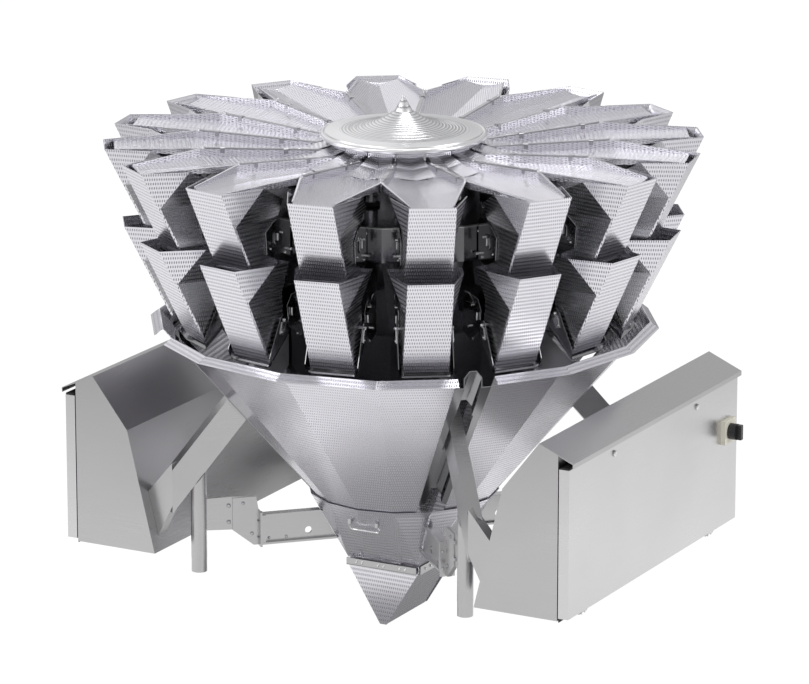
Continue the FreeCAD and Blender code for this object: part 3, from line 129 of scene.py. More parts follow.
class Paint:
    """A node tree written as expressions."""

    def __init__(self, tree):
        self.tree = tree

    def node(self, kind, settings=None, inputs=None):
        """Adds a node: its settings first, then the values or links of its sockets."""
        made = self.tree.nodes.new(kind)
        for key, setting in (settings or {}).items():
            if key == "stops":
                while len(made.color_ramp.elements) < len(setting):
                    made.color_ramp.elements.new(1)
                for element, (place, shade) in zip(made.color_ramp.elements, setting):
                    element.position = place
                    element.color = shade
            else:
                setattr(made, key, setting)
        for key, source in (inputs or {}).items():
            self.feed(made.inputs[key], source)
        return Outputs(self, made)

    def feed(self, socket, source):
        if isinstance(source, Wire):
            self.tree.links.new(source.socket, socket)
        else:
            socket.default_value = source

    def vector_maths(self, operation, first, second, output="Vector"):
        return self.node("ShaderNodeVectorMath", {"operation": operation}, {0: first, 1: second})[output]

    def mix(self, share, first, second):
        return self.node("ShaderNodeMix", {"data_type": "RGBA"},
                         {"Factor": share, "A": first, "B": second})["Result"]

    def sheet_places(self, upwards=(0.013, 0.007, 1.0)):
        """Two distances along a flat sheet, level and up its slope, whichever way the sheet faces."""
        spot = self.node("ShaderNodeTexCoord")
        facing = spot["Normal"]
        level = self.vector_maths("CROSS_PRODUCT", upwards, facing)
        level = self.node("ShaderNodeVectorMath", {"operation": "NORMALIZE"}, {0: level})["Vector"]
        uphill = self.vector_maths("CROSS_PRODUCT", facing, level)
        across = self.vector_maths("DOT_PRODUCT", spot["Object"], level, "Value")
        along = self.vector_maths("DOT_PRODUCT", spot["Object"], uphill, "Value")
        return spot["Object"], across, along

    def noise(self, place, scale, detail=2.0, roughness=0.5):
        return self.node("ShaderNodeTexNoise", {}, {"Vector": place, "Scale": scale, "Detail": detail,
                                                    "Roughness": roughness})["Fac"]

    def combined(self, x, y, z=0.0):
        return self.node("ShaderNodeCombineXYZ", {}, {"X": x, "Y": y, "Z": z})["Vector"]

    def bump(self, height, strength, distance=0.001):
        return self.node("ShaderNodeBump", {}, {"Height": height, "Strength": strength,
                                                "Distance": distance})["Normal"]


def new_finish(name, colour, roughness, metallic=1.0):
    """A material with one principled shader, and the paint to write its nodes with."""
    material = bpy.data.materials.new(name)
    material.use_nodes = True
    paint = Paint(material.node_tree)
    shader = material.node_tree.nodes["Principled BSDF"]
    shader.inputs["Base Color"].default_value = (*colour, 1)
    shader.inputs["Roughness"].default_value = roughness
    shader.inputs["Metallic"].default_value = metallic
    return material, paint, shader.inputs


def shaded(colour, share=1.0):
    """A colour with full alpha, darkened to a share."""
    return (*(share * part for part in colour), 1)


def head_outwards(paint):
    """The level direction in which the head of a spot looks."""
    place = paint.node("ShaderNodeSeparateXYZ", {}, {0: paint.node("ShaderNodeTexCoord")["Object"]})
    turn = place["Y"].maths("ARCTAN2", place["X"])
    middle = ((turn / PITCH).maths("FLOOR") + 0.5) * PITCH
    return paint.combined(middle.maths("COSINE"), middle.maths("SINE"))


def embossed_steel(settings, name="embossed_steel", kind="sheet"):
    """Bright sheet with staggered rows of short pressed dashes, which are duller than the sheet."""
    material, paint, inputs = new_finish(name, settings.embossed_colour, settings.embossed_roughness)
    outwards = head_outwards(paint)
    spot, across, along = paint.sheet_places(outwards) if kind == "pan" else paint.sheet_places()
    row = along / settings.row_pitch
    odd = (row.maths("FLOOR") / 2).maths("FRACT")
    column = across / settings.dash_pitch + odd
    row_middle = (row.maths("FRACT") - 0.5).maths("ABSOLUTE")
    column_middle = (column.maths("FRACT") - 0.5).maths("ABSOLUTE")
    inside = 1 - (column_middle / 0.25).maths("POWER", 2) - (row_middle / 0.34).maths("POWER", 2)
    dash = inside.maths("MAXIMUM", 0.0).maths("SQRT")
    cloud = paint.noise(spot, 9.0, 3.0)
    bright = paint.mix(cloud, shaded(settings.embossed_colour), shaded(settings.embossed_colour, 0.92))
    if kind == "hopper":
        normal = paint.node("ShaderNodeTexCoord")["Normal"]
        facing = paint.vector_maths("DOT_PRODUCT", outwards, normal, "Value")
        front = facing.maths("ABSOLUTE") > settings.smooth_limit
        dash = dash * (front * 0.7 + 0.3)
        bright = paint.mix(front, shaded(settings.polished_colour, 1.25), bright)
    paint.feed(inputs["Base Color"], paint.mix(dash * 0.9, bright, shaded(settings.dash_colour)))
    paint.feed(inputs["Metallic"], 1 - dash * 0.6)
    paint.feed(inputs["Roughness"], settings.embossed_roughness + dash * 0.25 + (cloud - 0.5) * 0.08)
    paint.feed(inputs["Normal"], paint.bump(1 - dash, 0.5, 0.0008))
    return material


def ground_sheet(settings, name="ground_sheet", share=1.0):
    """Ground sheet with fine level grinding lines and soft cloudy sheen."""
    # A share above 1 makes a brighter copy of the sheet, which is painted light; the doors get it
    colour = tuple(share * part for part in settings.satin_colour)
    material, paint, inputs = new_finish(name, colour, settings.satin_roughness)
    spot, across, along = paint.sheet_places()
    lines = paint.noise(paint.combined(across * 6, along * 900), 1.0, 3.0, 0.7)
    cloud = paint.noise(spot, 2.6, 4.0)
    paint.feed(inputs["Base Color"], paint.mix(cloud * 0.5 + lines * 0.35, shaded(colour),
                                               shaded(colour, 0.84)))
    paint.feed(inputs["Roughness"], settings.satin_roughness + (cloud - 0.5) * 0.12 + (lines - 0.5) * 0.16)
    paint.feed(inputs["Normal"], paint.bump(lines, 0.10, 0.0004))
    return material


def smooth_sheet(settings, name="smooth_sheet", share=1.0):
    """Smooth housing sheet with a slight waviness and upright grinding lines."""
    # A share below 1 makes a darker copy of the sheet, which is painted shade; the column and the parts round
    # it get it
    colour = tuple(share * part for part in settings.polished_colour)
    material, paint, inputs = new_finish(name, colour, settings.polished_roughness)
    spot, across, along = paint.sheet_places()
    wave = paint.noise(spot, 7.0, 2.0)
    lines = paint.noise(paint.combined(across * 900, along * 5), 1.0, 2.0)
    paint.feed(inputs["Base Color"], paint.mix(wave, shaded(colour), shaded(colour, 0.8)))
    paint.feed(inputs["Roughness"], settings.polished_roughness + (wave - 0.5) * 0.08 + (lines - 0.5) * 0.06)
    paint.feed(inputs["Normal"], paint.bump(wave, 0.25, 0.004))
    return material


def turned_steel(settings):
    """Spun sheet with fine rings left by the turning tool, and painted shade that darkens the colour along
    each groove.
    """
    material, paint, inputs = new_finish("turned_steel", settings.polished_colour, 0.24)
    spot = paint.node("ShaderNodeTexCoord")["Object"]
    flat = paint.vector_maths("MULTIPLY", spot, (1, 1, 0))
    radius = paint.node("ShaderNodeVectorMath", {"operation": "LENGTH"}, {0: flat})["Value"]
    fine = paint.noise(paint.combined(radius * 700, 0.0), 1.0, 3.0, 0.6)
    ring = (radius * (2 * math.pi / settings.groove_pitch)).maths("COSINE") * 0.5 + 0.5
    ring = ring.maths("POWER", 3.0) * (radius < settings.groove_reach)
    # Painted shade: the colour goes dark along the grooves of the rings
    paint.feed(inputs["Base Color"], paint.mix(ring * 0.75 + fine * 0.2, (0.90, 0.90, 0.91, 1),
                                               (0.34, 0.34, 0.36, 1)))
    paint.feed(inputs["Roughness"], 0.22 + fine * 0.12)
    paint.feed(inputs["Normal"], paint.bump(fine * 0.15 - ring, 0.35, 0.0012))
    return material


def bright_steel(settings):
    """Plated pins, rods and bolt heads, with faint scuffs."""
    material, paint, inputs = new_finish("bright_steel", (0.86, 0.86, 0.87), 0.12)
    spot = paint.node("ShaderNodeTexCoord")["Object"]
    scuff = paint.noise(spot, 260.0, 3.0)
    paint.feed(inputs["Base Color"], paint.mix(scuff, (0.90, 0.90, 0.91, 1), (0.70, 0.70, 0.71, 1)))
    paint.feed(inputs["Roughness"], 0.08 + scuff * 0.18)
    paint.feed(inputs["Normal"], paint.bump(scuff, 0.08, 0.0002))
    return material


def moulded(name, colour, roughness):
    """Moulded plastic or rubber with a faint grain."""
    material, paint, inputs = new_finish(name, colour, roughness, metallic=0.0)
    spot = paint.node("ShaderNodeTexCoord")["Object"]
    grain = paint.noise(spot, 900.0, 2.0)
    tone = paint.noise(spot, 40.0, 2.0)
    paint.feed(inputs["Base Color"], paint.mix(tone, shaded(colour), shaded(colour, 0.88)))
    paint.feed(inputs["Roughness"], roughness + (grain - 0.5) * 0.12)
    paint.feed(inputs["Normal"], paint.bump(grain, 0.12, 0.0003))
    return material


def finish(name):
    """A finish by its name, made the first time that it is asked for."""
    if name not in bpy.data.materials:
        chosen = settings()
        makers = {
            "embossed_steel": lambda: embossed_steel(chosen),
            "embossed_hopper": lambda: embossed_steel(chosen, "embossed_hopper", "hopper"),
            "embossed_pan": lambda: embossed_steel(chosen, "embossed_pan", "pan"),
            "ground_sheet": lambda: ground_sheet(chosen),
            "painted_light_door_sheet": lambda: ground_sheet(chosen, "painted_light_door_sheet", chosen.door_painted_light),
            "smooth_sheet": lambda: smooth_sheet(chosen),
            "painted_shade_column_steel": lambda: smooth_sheet(chosen, "painted_shade_column_steel", chosen.column_painted_shade),
            "turned_steel": lambda: turned_steel(chosen),
            "bright_steel": lambda: bright_steel(chosen),
            "cream_plastic": lambda: moulded("cream_plastic", (0.80, 0.77, 0.66), 0.35),
            "black_plastic": lambda: moulded("black_plastic", (0.02, 0.02, 0.022), 0.30),
            "black_rubber": lambda: moulded("black_rubber", (0.015, 0.015, 0.016), 0.65)}
        makers[name]()
    return bpy.data.materials[name]


# ---------------------------------------------------------------- mesh building

def circle(radius, height, sides):
    """Places round the Z axis."""
    turns = [2 * math.pi * step / sides for step in range(sides)]
    return [(radius * math.cos(turn), radius * math.sin(turn), height) for turn in turns]


class Stock:
    """Solid pieces of plate, bar and turned work that become one mesh object."""

    def __init__(self, name):
        self.name = name
        self.mesh = bmesh.new()

    def place(self, corners, frame):
        return [self.mesh.verts.new(frame @ Vector(corner)) for corner in corners]

    def skin(self, rings):
        """Walls between rings of points, with a cap on the first and the last."""
        for lower, upper in zip(rings, rings[1:]):
            count = len(lower)
            for step in range(count):
                after = (step + 1) % count
                self.mesh.faces.new((lower[step], lower[after], upper[after], upper[step]))
        self.mesh.faces.new(rings[0][::-1])
        self.mesh.faces.new(rings[-1])

    def plate(self, outline, thickness, frame, chamfer=0.0):
        """A flat outline in the frame's XZ plane, as thick as asked along its Y axis."""
        middle_x = sum(x for x, _ in outline) / len(outline)
        middle_z = sum(z for _, z in outline) / len(outline)
        rings = []
        edge = 0.5 - min(0.4, chamfer / thickness)
        for side, inset in ((-0.5, chamfer), (-edge, 0), (edge, 0), (0.5, chamfer)):
            ring = []
            for x, z in outline:
                reach = math.hypot(x - middle_x, z - middle_z)
                share = 1 - inset / reach if reach > inset else 1
                ring.append((middle_x + (x - middle_x) * share, side * thickness,
                             middle_z + (z - middle_z) * share))
            rings.append(self.place(ring, frame))
        self.skin(rings if chamfer else [rings[0], rings[-1]])

    def block(self, low, high, frame, chamfer=0.0):
        """A box between two corners of the frame."""
        outline = [(low[0], low[2]), (high[0], low[2]), (high[0], high[2]), (low[0], high[2])]
        middle = Matrix.Translation((0, (low[1] + high[1]) / 2, 0))
        self.plate(outline, high[1] - low[1], frame @ middle, chamfer)

    def turned(self, profile, frame, sides=24):
        """A closed solid of revolution about the frame's Z axis, from (radius, height) pairs."""
        self.skin([self.place(circle(radius, height, sides), frame) for radius, height in profile])

    def bar(self, start, end, radius, frame, sides=14):
        """A round bar between two places, with softened ends."""
        start, end = Vector(start), Vector(end)
        length = (end - start).length
        own = frame @ Matrix.Translation(start) @ (end - start).to_track_quat("Z", "Y").to_matrix().to_4x4()
        soft = min(radius * 0.3, length * 0.2)
        self.turned([(radius - soft, 0), (radius, soft), (radius, length - soft), (radius - soft, length)],
                    own, sides)

    def bent_bar(self, route, radius, frame, sides=10):
        """A round bar that follows a list of places."""
        route = [Vector(place) for place in route]
        rings = []
        for number, place in enumerate(route):
            ahead = route[min(number + 1, len(route) - 1)] - route[max(number - 1, 0)]
            own = Matrix.Translation(place) @ ahead.to_track_quat("Z", "Y").to_matrix().to_4x4()
            rings.append(self.place(circle(radius, 0, sides), frame @ own))
        self.skin(rings)

    def bolt(self, place, direction, size, frame):
        """A washer and a domed hexagon head, standing on a surface that faces a direction."""
        turn = Vector(direction).to_track_quat("Z", "Y").to_matrix().to_4x4()
        own = frame @ Matrix.Translation(place) @ turn
        self.turned([(size * 1.1, 0), (size * 1.1, size * 0.16), (size * 0.98, size * 0.22)], own, 20)
        self.turned([(size * 0.9, size * 0.22), (size * 0.9, size * 0.75), (size * 0.62, size * 0.95)],
                    own, 6)

    def done(self, finish_name, body, slot, crease=35):
        """Ends the piece: its object, its finish and the body that it rides on; the slot is not used."""
        bmesh.ops.recalc_face_normals(self.mesh, faces=self.mesh.faces)
        mesh = bpy.data.meshes.new(self.name)
        self.mesh.to_mesh(mesh)
        self.mesh.free()
        piece = bpy.data.objects.new(self.name, mesh)
        bpy.context.scene.collection.objects.link(piece)
        mesh.materials.append(finish(finish_name))
        mesh.shade_smooth()
        mesh.set_sharp_from_angle(angle=math.radians(crease))
        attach(piece, body)
        return piece


def head_frame(number):
    """The frame of one head."""
    return Matrix.Rotation((number + 0.5) * PITCH - math.pi / 2, 4, "Z")


def quarter_frame(number):
    """The frame of one of the four gaps between the quarter cones."""
    return Matrix.Rotation(math.radians(45 + 90 * number), 4, "Z")


# ---------------------------------------------------------------- settings

class WeigherSettings(bpy.types.PropertyGroup):
    """Sizes and colours that a user would change."""
    embossed_colour: bpy.props.FloatVectorProperty(
        name="Embossed sheet", description="Colour of the hoppers, pans and cones", subtype="COLOR",
        default=(0.88, 0.87, 0.92), min=0, max=1)
    dash_colour: bpy.props.FloatVectorProperty(
        name="Dashes", description="Colour of the pressed dashes", subtype="COLOR",
        default=(0.20, 0.19, 0.23), min=0, max=1)
    embossed_roughness: bpy.props.FloatProperty(
        name="Embossed roughness", description="Roughness of the embossed sheet", default=0.24, min=0, max=1)
    smooth_limit: bpy.props.FloatProperty(
        name="Smooth limit", description="Hopper sheet that faces its head less than this is left plain",
        default=0.12, min=0, max=1)
    row_pitch: bpy.props.FloatProperty(
        name="Row pitch", description="Distance between two rows of dashes", default=0.0125, unit="LENGTH")
    dash_pitch: bpy.props.FloatProperty(
        name="Dash pitch", description="Distance between two dashes of a row", default=0.0064, unit="LENGTH")
    satin_colour: bpy.props.FloatVectorProperty(
        name="Satin sheet", description="Colour of the cabinets, arms and posts", subtype="COLOR",
        default=(0.60, 0.595, 0.60), min=0, max=1)
    satin_roughness: bpy.props.FloatProperty(
        name="Satin roughness", description="Roughness of the ground sheet", default=0.30, min=0, max=1)
    polished_colour: bpy.props.FloatVectorProperty(
        name="Polished sheet", description="Colour of the column", subtype="COLOR",
        default=(0.50, 0.50, 0.52), min=0, max=1)
    polished_roughness: bpy.props.FloatProperty(
        name="Polished roughness", description="Roughness of the column", default=0.16, min=0, max=1)
    # Painted shade: the column, gates, brackets and hanger plates get a darker copy of the smooth sheet,
    # standing in for the shade in the middle of the machine
    column_painted_shade: bpy.props.FloatProperty(
        name="Column shade", description="Brightness of the column against the other smooth sheet",
        default=0.68, min=0, max=1)
    # Painted light: the doors get a brighter copy of the ground sheet, standing in for the light that falls
    # on them
    door_painted_light: bpy.props.FloatProperty(
        name="Door shade", description="Brightness of the doors against the other ground sheet",
        default=1.28, min=0, max=1.6)
    groove_pitch: bpy.props.FloatProperty(
        name="Groove pitch", description="Distance between the spun cone's rings", default=0.009,
        unit="LENGTH")
    groove_reach: bpy.props.FloatProperty(
        name="Groove reach", description="Radius of the outermost ring", default=0.178, unit="LENGTH")
    camera_turn: bpy.props.FloatProperty(
        name="Camera azimuth", description="Angle from the front round to the camera", subtype="ANGLE",
        default=math.radians(28.46))
    camera_reach: bpy.props.FloatProperty(
        name="Camera distance", description="Level distance from the column to the camera", default=13.431,
        unit="LENGTH")
    camera_height: bpy.props.FloatProperty(
        name="Camera height", description="Height of the camera over the feet", default=4.246, unit="LENGTH")
    camera_pitch: bpy.props.FloatProperty(
        name="Camera pitch", description="Angle that the camera looks down", subtype="ANGLE",
        default=math.radians(15.127))
    camera_lens: bpy.props.FloatProperty(
        name="Lens", description="Focal length", default=221.2, unit="CAMERA")


def settings():
    return bpy.context.scene.weigher


# ---------------------------------------------------------------- operators

FINISHES = {
    "embossed_hopper": ("pool_hoppers", "weigh_hoppers"),
    "embossed_pan": ("feeder_pans",),
    "embossed_steel": ("front_cone", "right_cone", "back_cone", "left_cone", "outlet_funnel",
                       "outlet_flap_right", "outlet_flap_left", "outlet_cheeks"),
    "ground_sheet": ("support_posts", "support_arms", "funnel_braces", "right_cabinet_shell",
                     "left_cabinet_shell", "right_cabinet_hinges", "left_cabinet_hinges", "right_door_locks",
                     "left_door_locks"),
    # Painted light: the doors get the brighter copy of the ground sheet
    "painted_light_door_sheet": ("right_cabinet_door", "left_cabinet_door"),
    "smooth_sheet": ("feeder_stands", "flap_rods", "cone_spindle"),
    # Painted shade: these parts in the middle get the darker copy of the smooth sheet
    "painted_shade_column_steel": ("drive_column", "divider_ridges", "pool_gates", "pool_brackets", "weigh_brackets",
                     *(f"weigh_gate_{number:02d}" for number in range(1, HEADS + 1))),
    "turned_steel": ("dispersion_cone",),
    "cream_plastic": ("main_switch_base",),
    "black_plastic": ("main_switch_knob",)}


class WEIGHER_OT_finishes(bpy.types.Operator):
    """Gives each piece of the frame its metal or plastic finish"""
    bl_idname = "weigher.finishes"
    bl_label = "Frame finishes"

    def execute(self, context):
        for finish_name, names in FINISHES.items():
            for name in names:
                NODES[name].data.materials.clear()
                NODES[name].data.materials.append(finish(finish_name))
        return {"FINISHED"}


class WEIGHER_OT_spun_cone(bpy.types.Operator):
    """Spins the dispersion cone: a concave skirt, a waist, a ball on the tip and a rolled bead"""
    bl_idname = "weigher.spun_cone"
    bl_label = "Spun cone"

    def execute(self, context):
        low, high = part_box("dispersion_cone")
        bead = 0.008
        rim, foot, top = high[0] - bead, low[2], high[2]
        neck, neck_level, skirt_level = 0.027, top - 0.045, foot + 2 * bead
        profile = [(0.001, top), (0.0035, top - 0.0008), (0.0048, top - 0.003),
                   (0.0050, top - 0.0055), (0.0042, top - 0.0075), (0.0060, top - 0.0105),
                   (0.0095, top - 0.016), (0.0140, top - 0.0235), (0.0190, top - 0.0325),
                   (0.0235, top - 0.0410), (0.0245, top - 0.0435), (0.0262, top - 0.0442)]
        steps, groove = 96, settings().groove_pitch
        for step in range(steps + 1):
            share = step / steps * 0.965
            radius = neck + (rim - neck) * share
            rise = math.exp(-(2.6 * share + 0.75 * share * share))
            ripple = 0.0008 * math.cos(2 * math.pi * radius / groove) * max(0.0, min(1.0, (0.82 - share) * 6))
            profile.append((radius, skirt_level + (neck_level - skirt_level) * rise + ripple))
        profile.append((rim - 0.0055, skirt_level - 0.0022))
        rolled = [(rim + bead * math.sin(turn), foot + bead + bead * math.cos(turn))
                  for turn in (math.radians(degrees) for degrees in range(-25, 290, 15))]
        under = [(rim - 0.010, foot + 0.009), (rim * 0.5, foot + 0.020), (0.06, foot + 0.045),
                 (0.001, foot + 0.048)]
        stock = Stock("spun_cone")
        stock.turned(profile + rolled + under, Matrix.Identity(4), 112)
        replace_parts(stock.done("turned_steel", "machine", "polished_steel"), "dispersion_cone")
        return {"FINISHED"}


class WEIGHER_OT_hangers(bpy.types.Operator):
    """Adds the plates, hooks and pins that the hoppers hang on, beside each hopper's back"""
    bl_idname = "weigher.hangers"
    bl_label = "Hopper hangers"

    def execute(self, context):
        plates, bits = Stock("hanger_plates"), Stock("hanger_pins")
        for number in range(HEADS):
            frame = head_frame(number)
            for side in (-1, 1):
                self.add_pool_hanger(plates, bits, frame, side)
                self.add_weigh_hanger(plates, bits, frame, side)
        plates.done("painted_shade_column_steel", "machine", "polished_steel")
        bits.done("bright_steel", "machine", "polished_steel")
        return {"FINISHED"}

    def add_pool_hanger(self, plates, bits, frame, side):
        """An upright plate with a hook, a locating rod and two pins beside a pool hopper."""
        skin = side * (POOL_HALF + SHEET)
        outer = side * (POOL_HALF + 2.2 * SHEET)
        own = frame @ Matrix.Translation((0, skin, 0))
        plates.plate([(0.560, 0.988), (0.600, 0.978), (0.655, 1.004), (0.660, 1.066), (0.628, 1.092),
                      (0.575, 1.108), (0.560, 1.096)], SHEET, own, 0.0008)
        plates.plate([(0.596, 1.034), (0.622, 1.026), (0.630, 1.036), (0.630, 1.060), (0.618, 1.068),
                      (0.600, 1.066)], SHEET, frame @ Matrix.Translation((0, outer, 0)), 0.0008)
        reach = side * (POOL_HALF + 0.010)
        bits.bar((0.617, reach, 1.038), (0.617, reach, 1.058), 0.0035, frame)
        bits.bar((0.600, skin, 1.058), (0.600, side * (POOL_HALF + 0.014), 1.058), 0.0036, frame)
        bits.bar((0.568, skin, 1.006), (0.568, side * (POOL_HALF + 0.016), 1.006), 0.0042, frame)
        bits.bolt((0.582, skin + side * SHEET / 2, 0.998), (0, side, 0), 0.0036, frame)
        bits.bolt((0.640, skin + side * SHEET / 2, 1.018), (0, side, 0), 0.0030, frame)

    def add_weigh_hanger(self, plates, bits, frame, side):
        """A smaller plate with the same hook, and the link that works the gate."""
        skin = side * (WEIGH_HALF + SHEET)
        own = frame @ Matrix.Translation((0, skin, 0))
        plates.plate([(0.470, 0.770), (0.520, 0.752), (0.566, 0.790), (0.574, 0.848), (0.556, 0.876),
                      (0.505, 0.884), (0.470, 0.868)], SHEET, own, 0.0008)
        reach = side * (WEIGH_HALF + 0.008)
        bits.bar((0.558, reach, 0.819), (0.558, reach, 0.841), 0.0033, frame)
        bits.bar((0.528, skin, 0.855), (0.528, side * (WEIGH_HALF + 0.010), 0.855), 0.0034, frame)
        bits.bar((0.514, skin, 0.793), (0.514, side * (WEIGH_HALF + 0.012), 0.793), 0.0042, frame)
        bits.bolt((0.532, skin + side * SHEET / 2, 0.762), (0, side, 0), 0.0042, frame)
        bits.bent_bar([(0.492, reach, 0.884), (0.517, reach, 0.884), (0.541, reach, 0.864)], 0.0018, frame)
        bits.bar((0.500, reach, 0.858), (0.536, reach, 0.862), 0.0018, frame)


class WEIGHER_OT_gate_fittings(bpy.types.Operator):
    """Adds pivot caps and a lever to each weigh gate"""
    bl_idname = "weigher.gate_fittings"
    bl_label = "Gate fittings"

    def execute(self, context):
        for number in range(HEADS):
            frame = head_frame(number)
            bits = Stock(f"gate_fittings_{number + 1:02d}")
            place, level = GATE_PIVOT
            for side in (-1, 1):
                face = side * GATE_HALF
                bits.bolt((place, face, level), (0, side, 0), 0.0055, frame)
                lever = [(place - 0.012, level - 0.004), (place + 0.012, level - 0.004),
                         (place + 0.020, level - 0.036), (place + 0.008, level - 0.040)]
                bits.plate(lever, 0.0024, frame @ Matrix.Translation((0, face + side * 0.0012, 0)), 0.0005)
                bits.bolt((place + 0.013, face + side * 0.0024, level - 0.031), (0, side, 0), 0.0032, frame)
            bits.done("bright_steel", f"gate_{number + 1:02d}", "polished_steel")
        return {"FINISHED"}


class WEIGHER_OT_pan_fittings(bpy.types.Operator):
    """Adds the cap strips between the feeder pans, with their clips and pegs"""
    bl_idname = "weigher.pan_fittings"
    bl_label = "Pan fittings"

    def execute(self, context):
        caps, pegs = Stock("pan_caps"), Stock("pan_pegs")
        for number in range(HEADS):
            frame = Matrix.Rotation(number * PITCH - math.pi / 2, 4, "Z")
            near, far = (0.206, 1.1790), (0.570, 1.2090)
            outline = [(near[0], near[1] - 0.001), (far[0], far[1] - 0.001), (far[0], far[1] + 0.0022),
                       (near[0], near[1] + 0.0022)]
            caps.plate(outline, 0.0105, frame, 0.001)
            for place in (0.34, 0.52):
                level = near[1] + (far[1] - near[1]) * (place - near[0]) / (far[0] - near[0])
                caps.block((place - 0.007, -0.008, level - 0.012), (place + 0.007, 0.008, level + 0.0034),
                           frame, 0.001)
            pegs.bar((0.571, 0, 1.196), (0.571, 0, 1.2165), 0.0034, frame)
            pegs.bolt((0.30, 0, 1.1874), (0, 0, 1), 0.0034, frame)
        caps.done("smooth_sheet", "machine", "polished_steel")
        pegs.done("bright_steel", "machine", "polished_steel")
        collar = Stock("pan_end_walls")
        for number in range(HEADS):
            frame = head_frame(number)
            near, top, half = 0.202, 1.2030, 0.0385
            own = frame @ Matrix.Translation((near, 0, 0)) @ Matrix.Rotation(math.pi / 2, 4, "Z")
            collar.plate([(0.0, 1.1536), (0.020, 1.1568), (0.031, 1.1592), (0.0365, 1.1790), (half, 1.1800),
                          (half, top), (-half, top), (-half, 1.1800), (-0.0365, 1.1790), (-0.031, 1.1592),
                          (-0.020, 1.1568)], 0.0016, own)
            collar.block((-half, 0.0008, top - 0.0016), (half, 0.0060, top), own, 0.0003)
        collar.done("embossed_steel", "machine", "dimpled_steel")
        self.add_aprons()
        return {"FINISHED"}

    def add_aprons(self):
        """The steep tail of each pan, which falls from its end wall to its floor."""
        aprons = Stock("pan_aprons")
        thin = 0.0012
        for number in range(HEADS):
            rings = []
            for place, middle, side in ((0.2052, 1.1885, 1.1915), (0.262, 1.1700, 1.1775),
                                        (0.345, 1.1605, 1.1705)):
                half = place * math.tan(PITCH / 2) - 0.0085
                section = [(-half, side), (0, middle), (half, side), (half, side - thin), (0, middle - thin),
                           (-half, side - thin)]
                corners = [(place, across, level) for across, level in section]
                rings.append(aprons.place(corners, head_frame(number)))
            aprons.skin(rings)
        aprons.done("embossed_pan", "machine", "dimpled_steel", crease=4)


class WEIGHER_OT_column_trim(bpy.types.Operator):
    """Adds the column's top edge and bolts, and the rubber sleeves of the stands"""
    bl_idname = "weigher.column_trim"
    bl_label = "Column trim"

    def execute(self, context):
        trim, bits, sleeves = Stock("column_edge"), Stock("column_bolts"), Stock("stand_sleeves")
        _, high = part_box("drive_column")
        low_stand, high_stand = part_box("feeder_stands")
        for number in range(HEADS):
            frame = head_frame(number)
            half = COLUMN_FACE * math.tan(PITCH / 2)
            trim.block((COLUMN_FACE - 0.012, -half, high[2]), (COLUMN_FACE + 0.0015, half, high[2] + 0.003),
                       frame, 0.0006)
            for across in (-0.6, 0.6):
                bits.bolt((COLUMN_FACE, across * half, high[2] - 0.014), (1, 0, 0), 0.0032, frame)
            for base, height in ((low_stand[2], 0.012), (high_stand[2] - 0.014, 0.012)):
                sleeves.turned([(0.021, base + 0.0005), (0.024, base + 0.003), (0.024, base + height - 0.003),
                                (0.021, base + height)], frame @ Matrix.Translation((0.300, 0, 0)), 24)
        trim.done("ground_sheet", "machine", "polished_steel")
        bits.done("bright_steel", "machine", "polished_steel")
        sleeves.done("black_rubber", "machine", "satin_steel")
        return {"FINISHED"}


class WEIGHER_OT_frame_bolts(bpy.types.Operator):
    """Adds bolts and pads where the braces meet the posts and the funnel"""
    bl_idname = "weigher.frame_bolts"
    bl_label = "Frame bolts"

    def execute(self, context):
        bits, pads = Stock("frame_bolts"), Stock("frame_pads")
        for number in range(4):
            frame = quarter_frame(number)
            for side in (-1, 1):
                for place, level in ((0.511, 0.182), (0.511, 0.134)):
                    bits.bolt((place, side * 0.003, level), (0, side, 0), 0.006, frame)
                for place, level in ((0.470, 0.186), (0.445, 0.096)):
                    bits.bolt((place, side * 0.006, level), (0, side, 0), 0.005, frame)
                for place in (0.345, 0.395):
                    bits.bolt((place, side * 0.003, 0.078), (0, side, 0), 0.0042, frame)
                pads.block((0.408, side * 0.0145, 0.070), (0.4185, side * 0.0205, 0.150), frame, 0.0008)
            for level in (0.082, 0.130):
                bits.bolt((0.424, 0.0135, level), (1, 0, 0), 0.004, frame)
                bits.bolt((0.424, -0.0135, level), (1, 0, 0), 0.004, frame)
        bits.done("smooth_sheet", "machine", "polished_steel")
        pads.done("ground_sheet", "machine", "satin_steel")
        return {"FINISHED"}


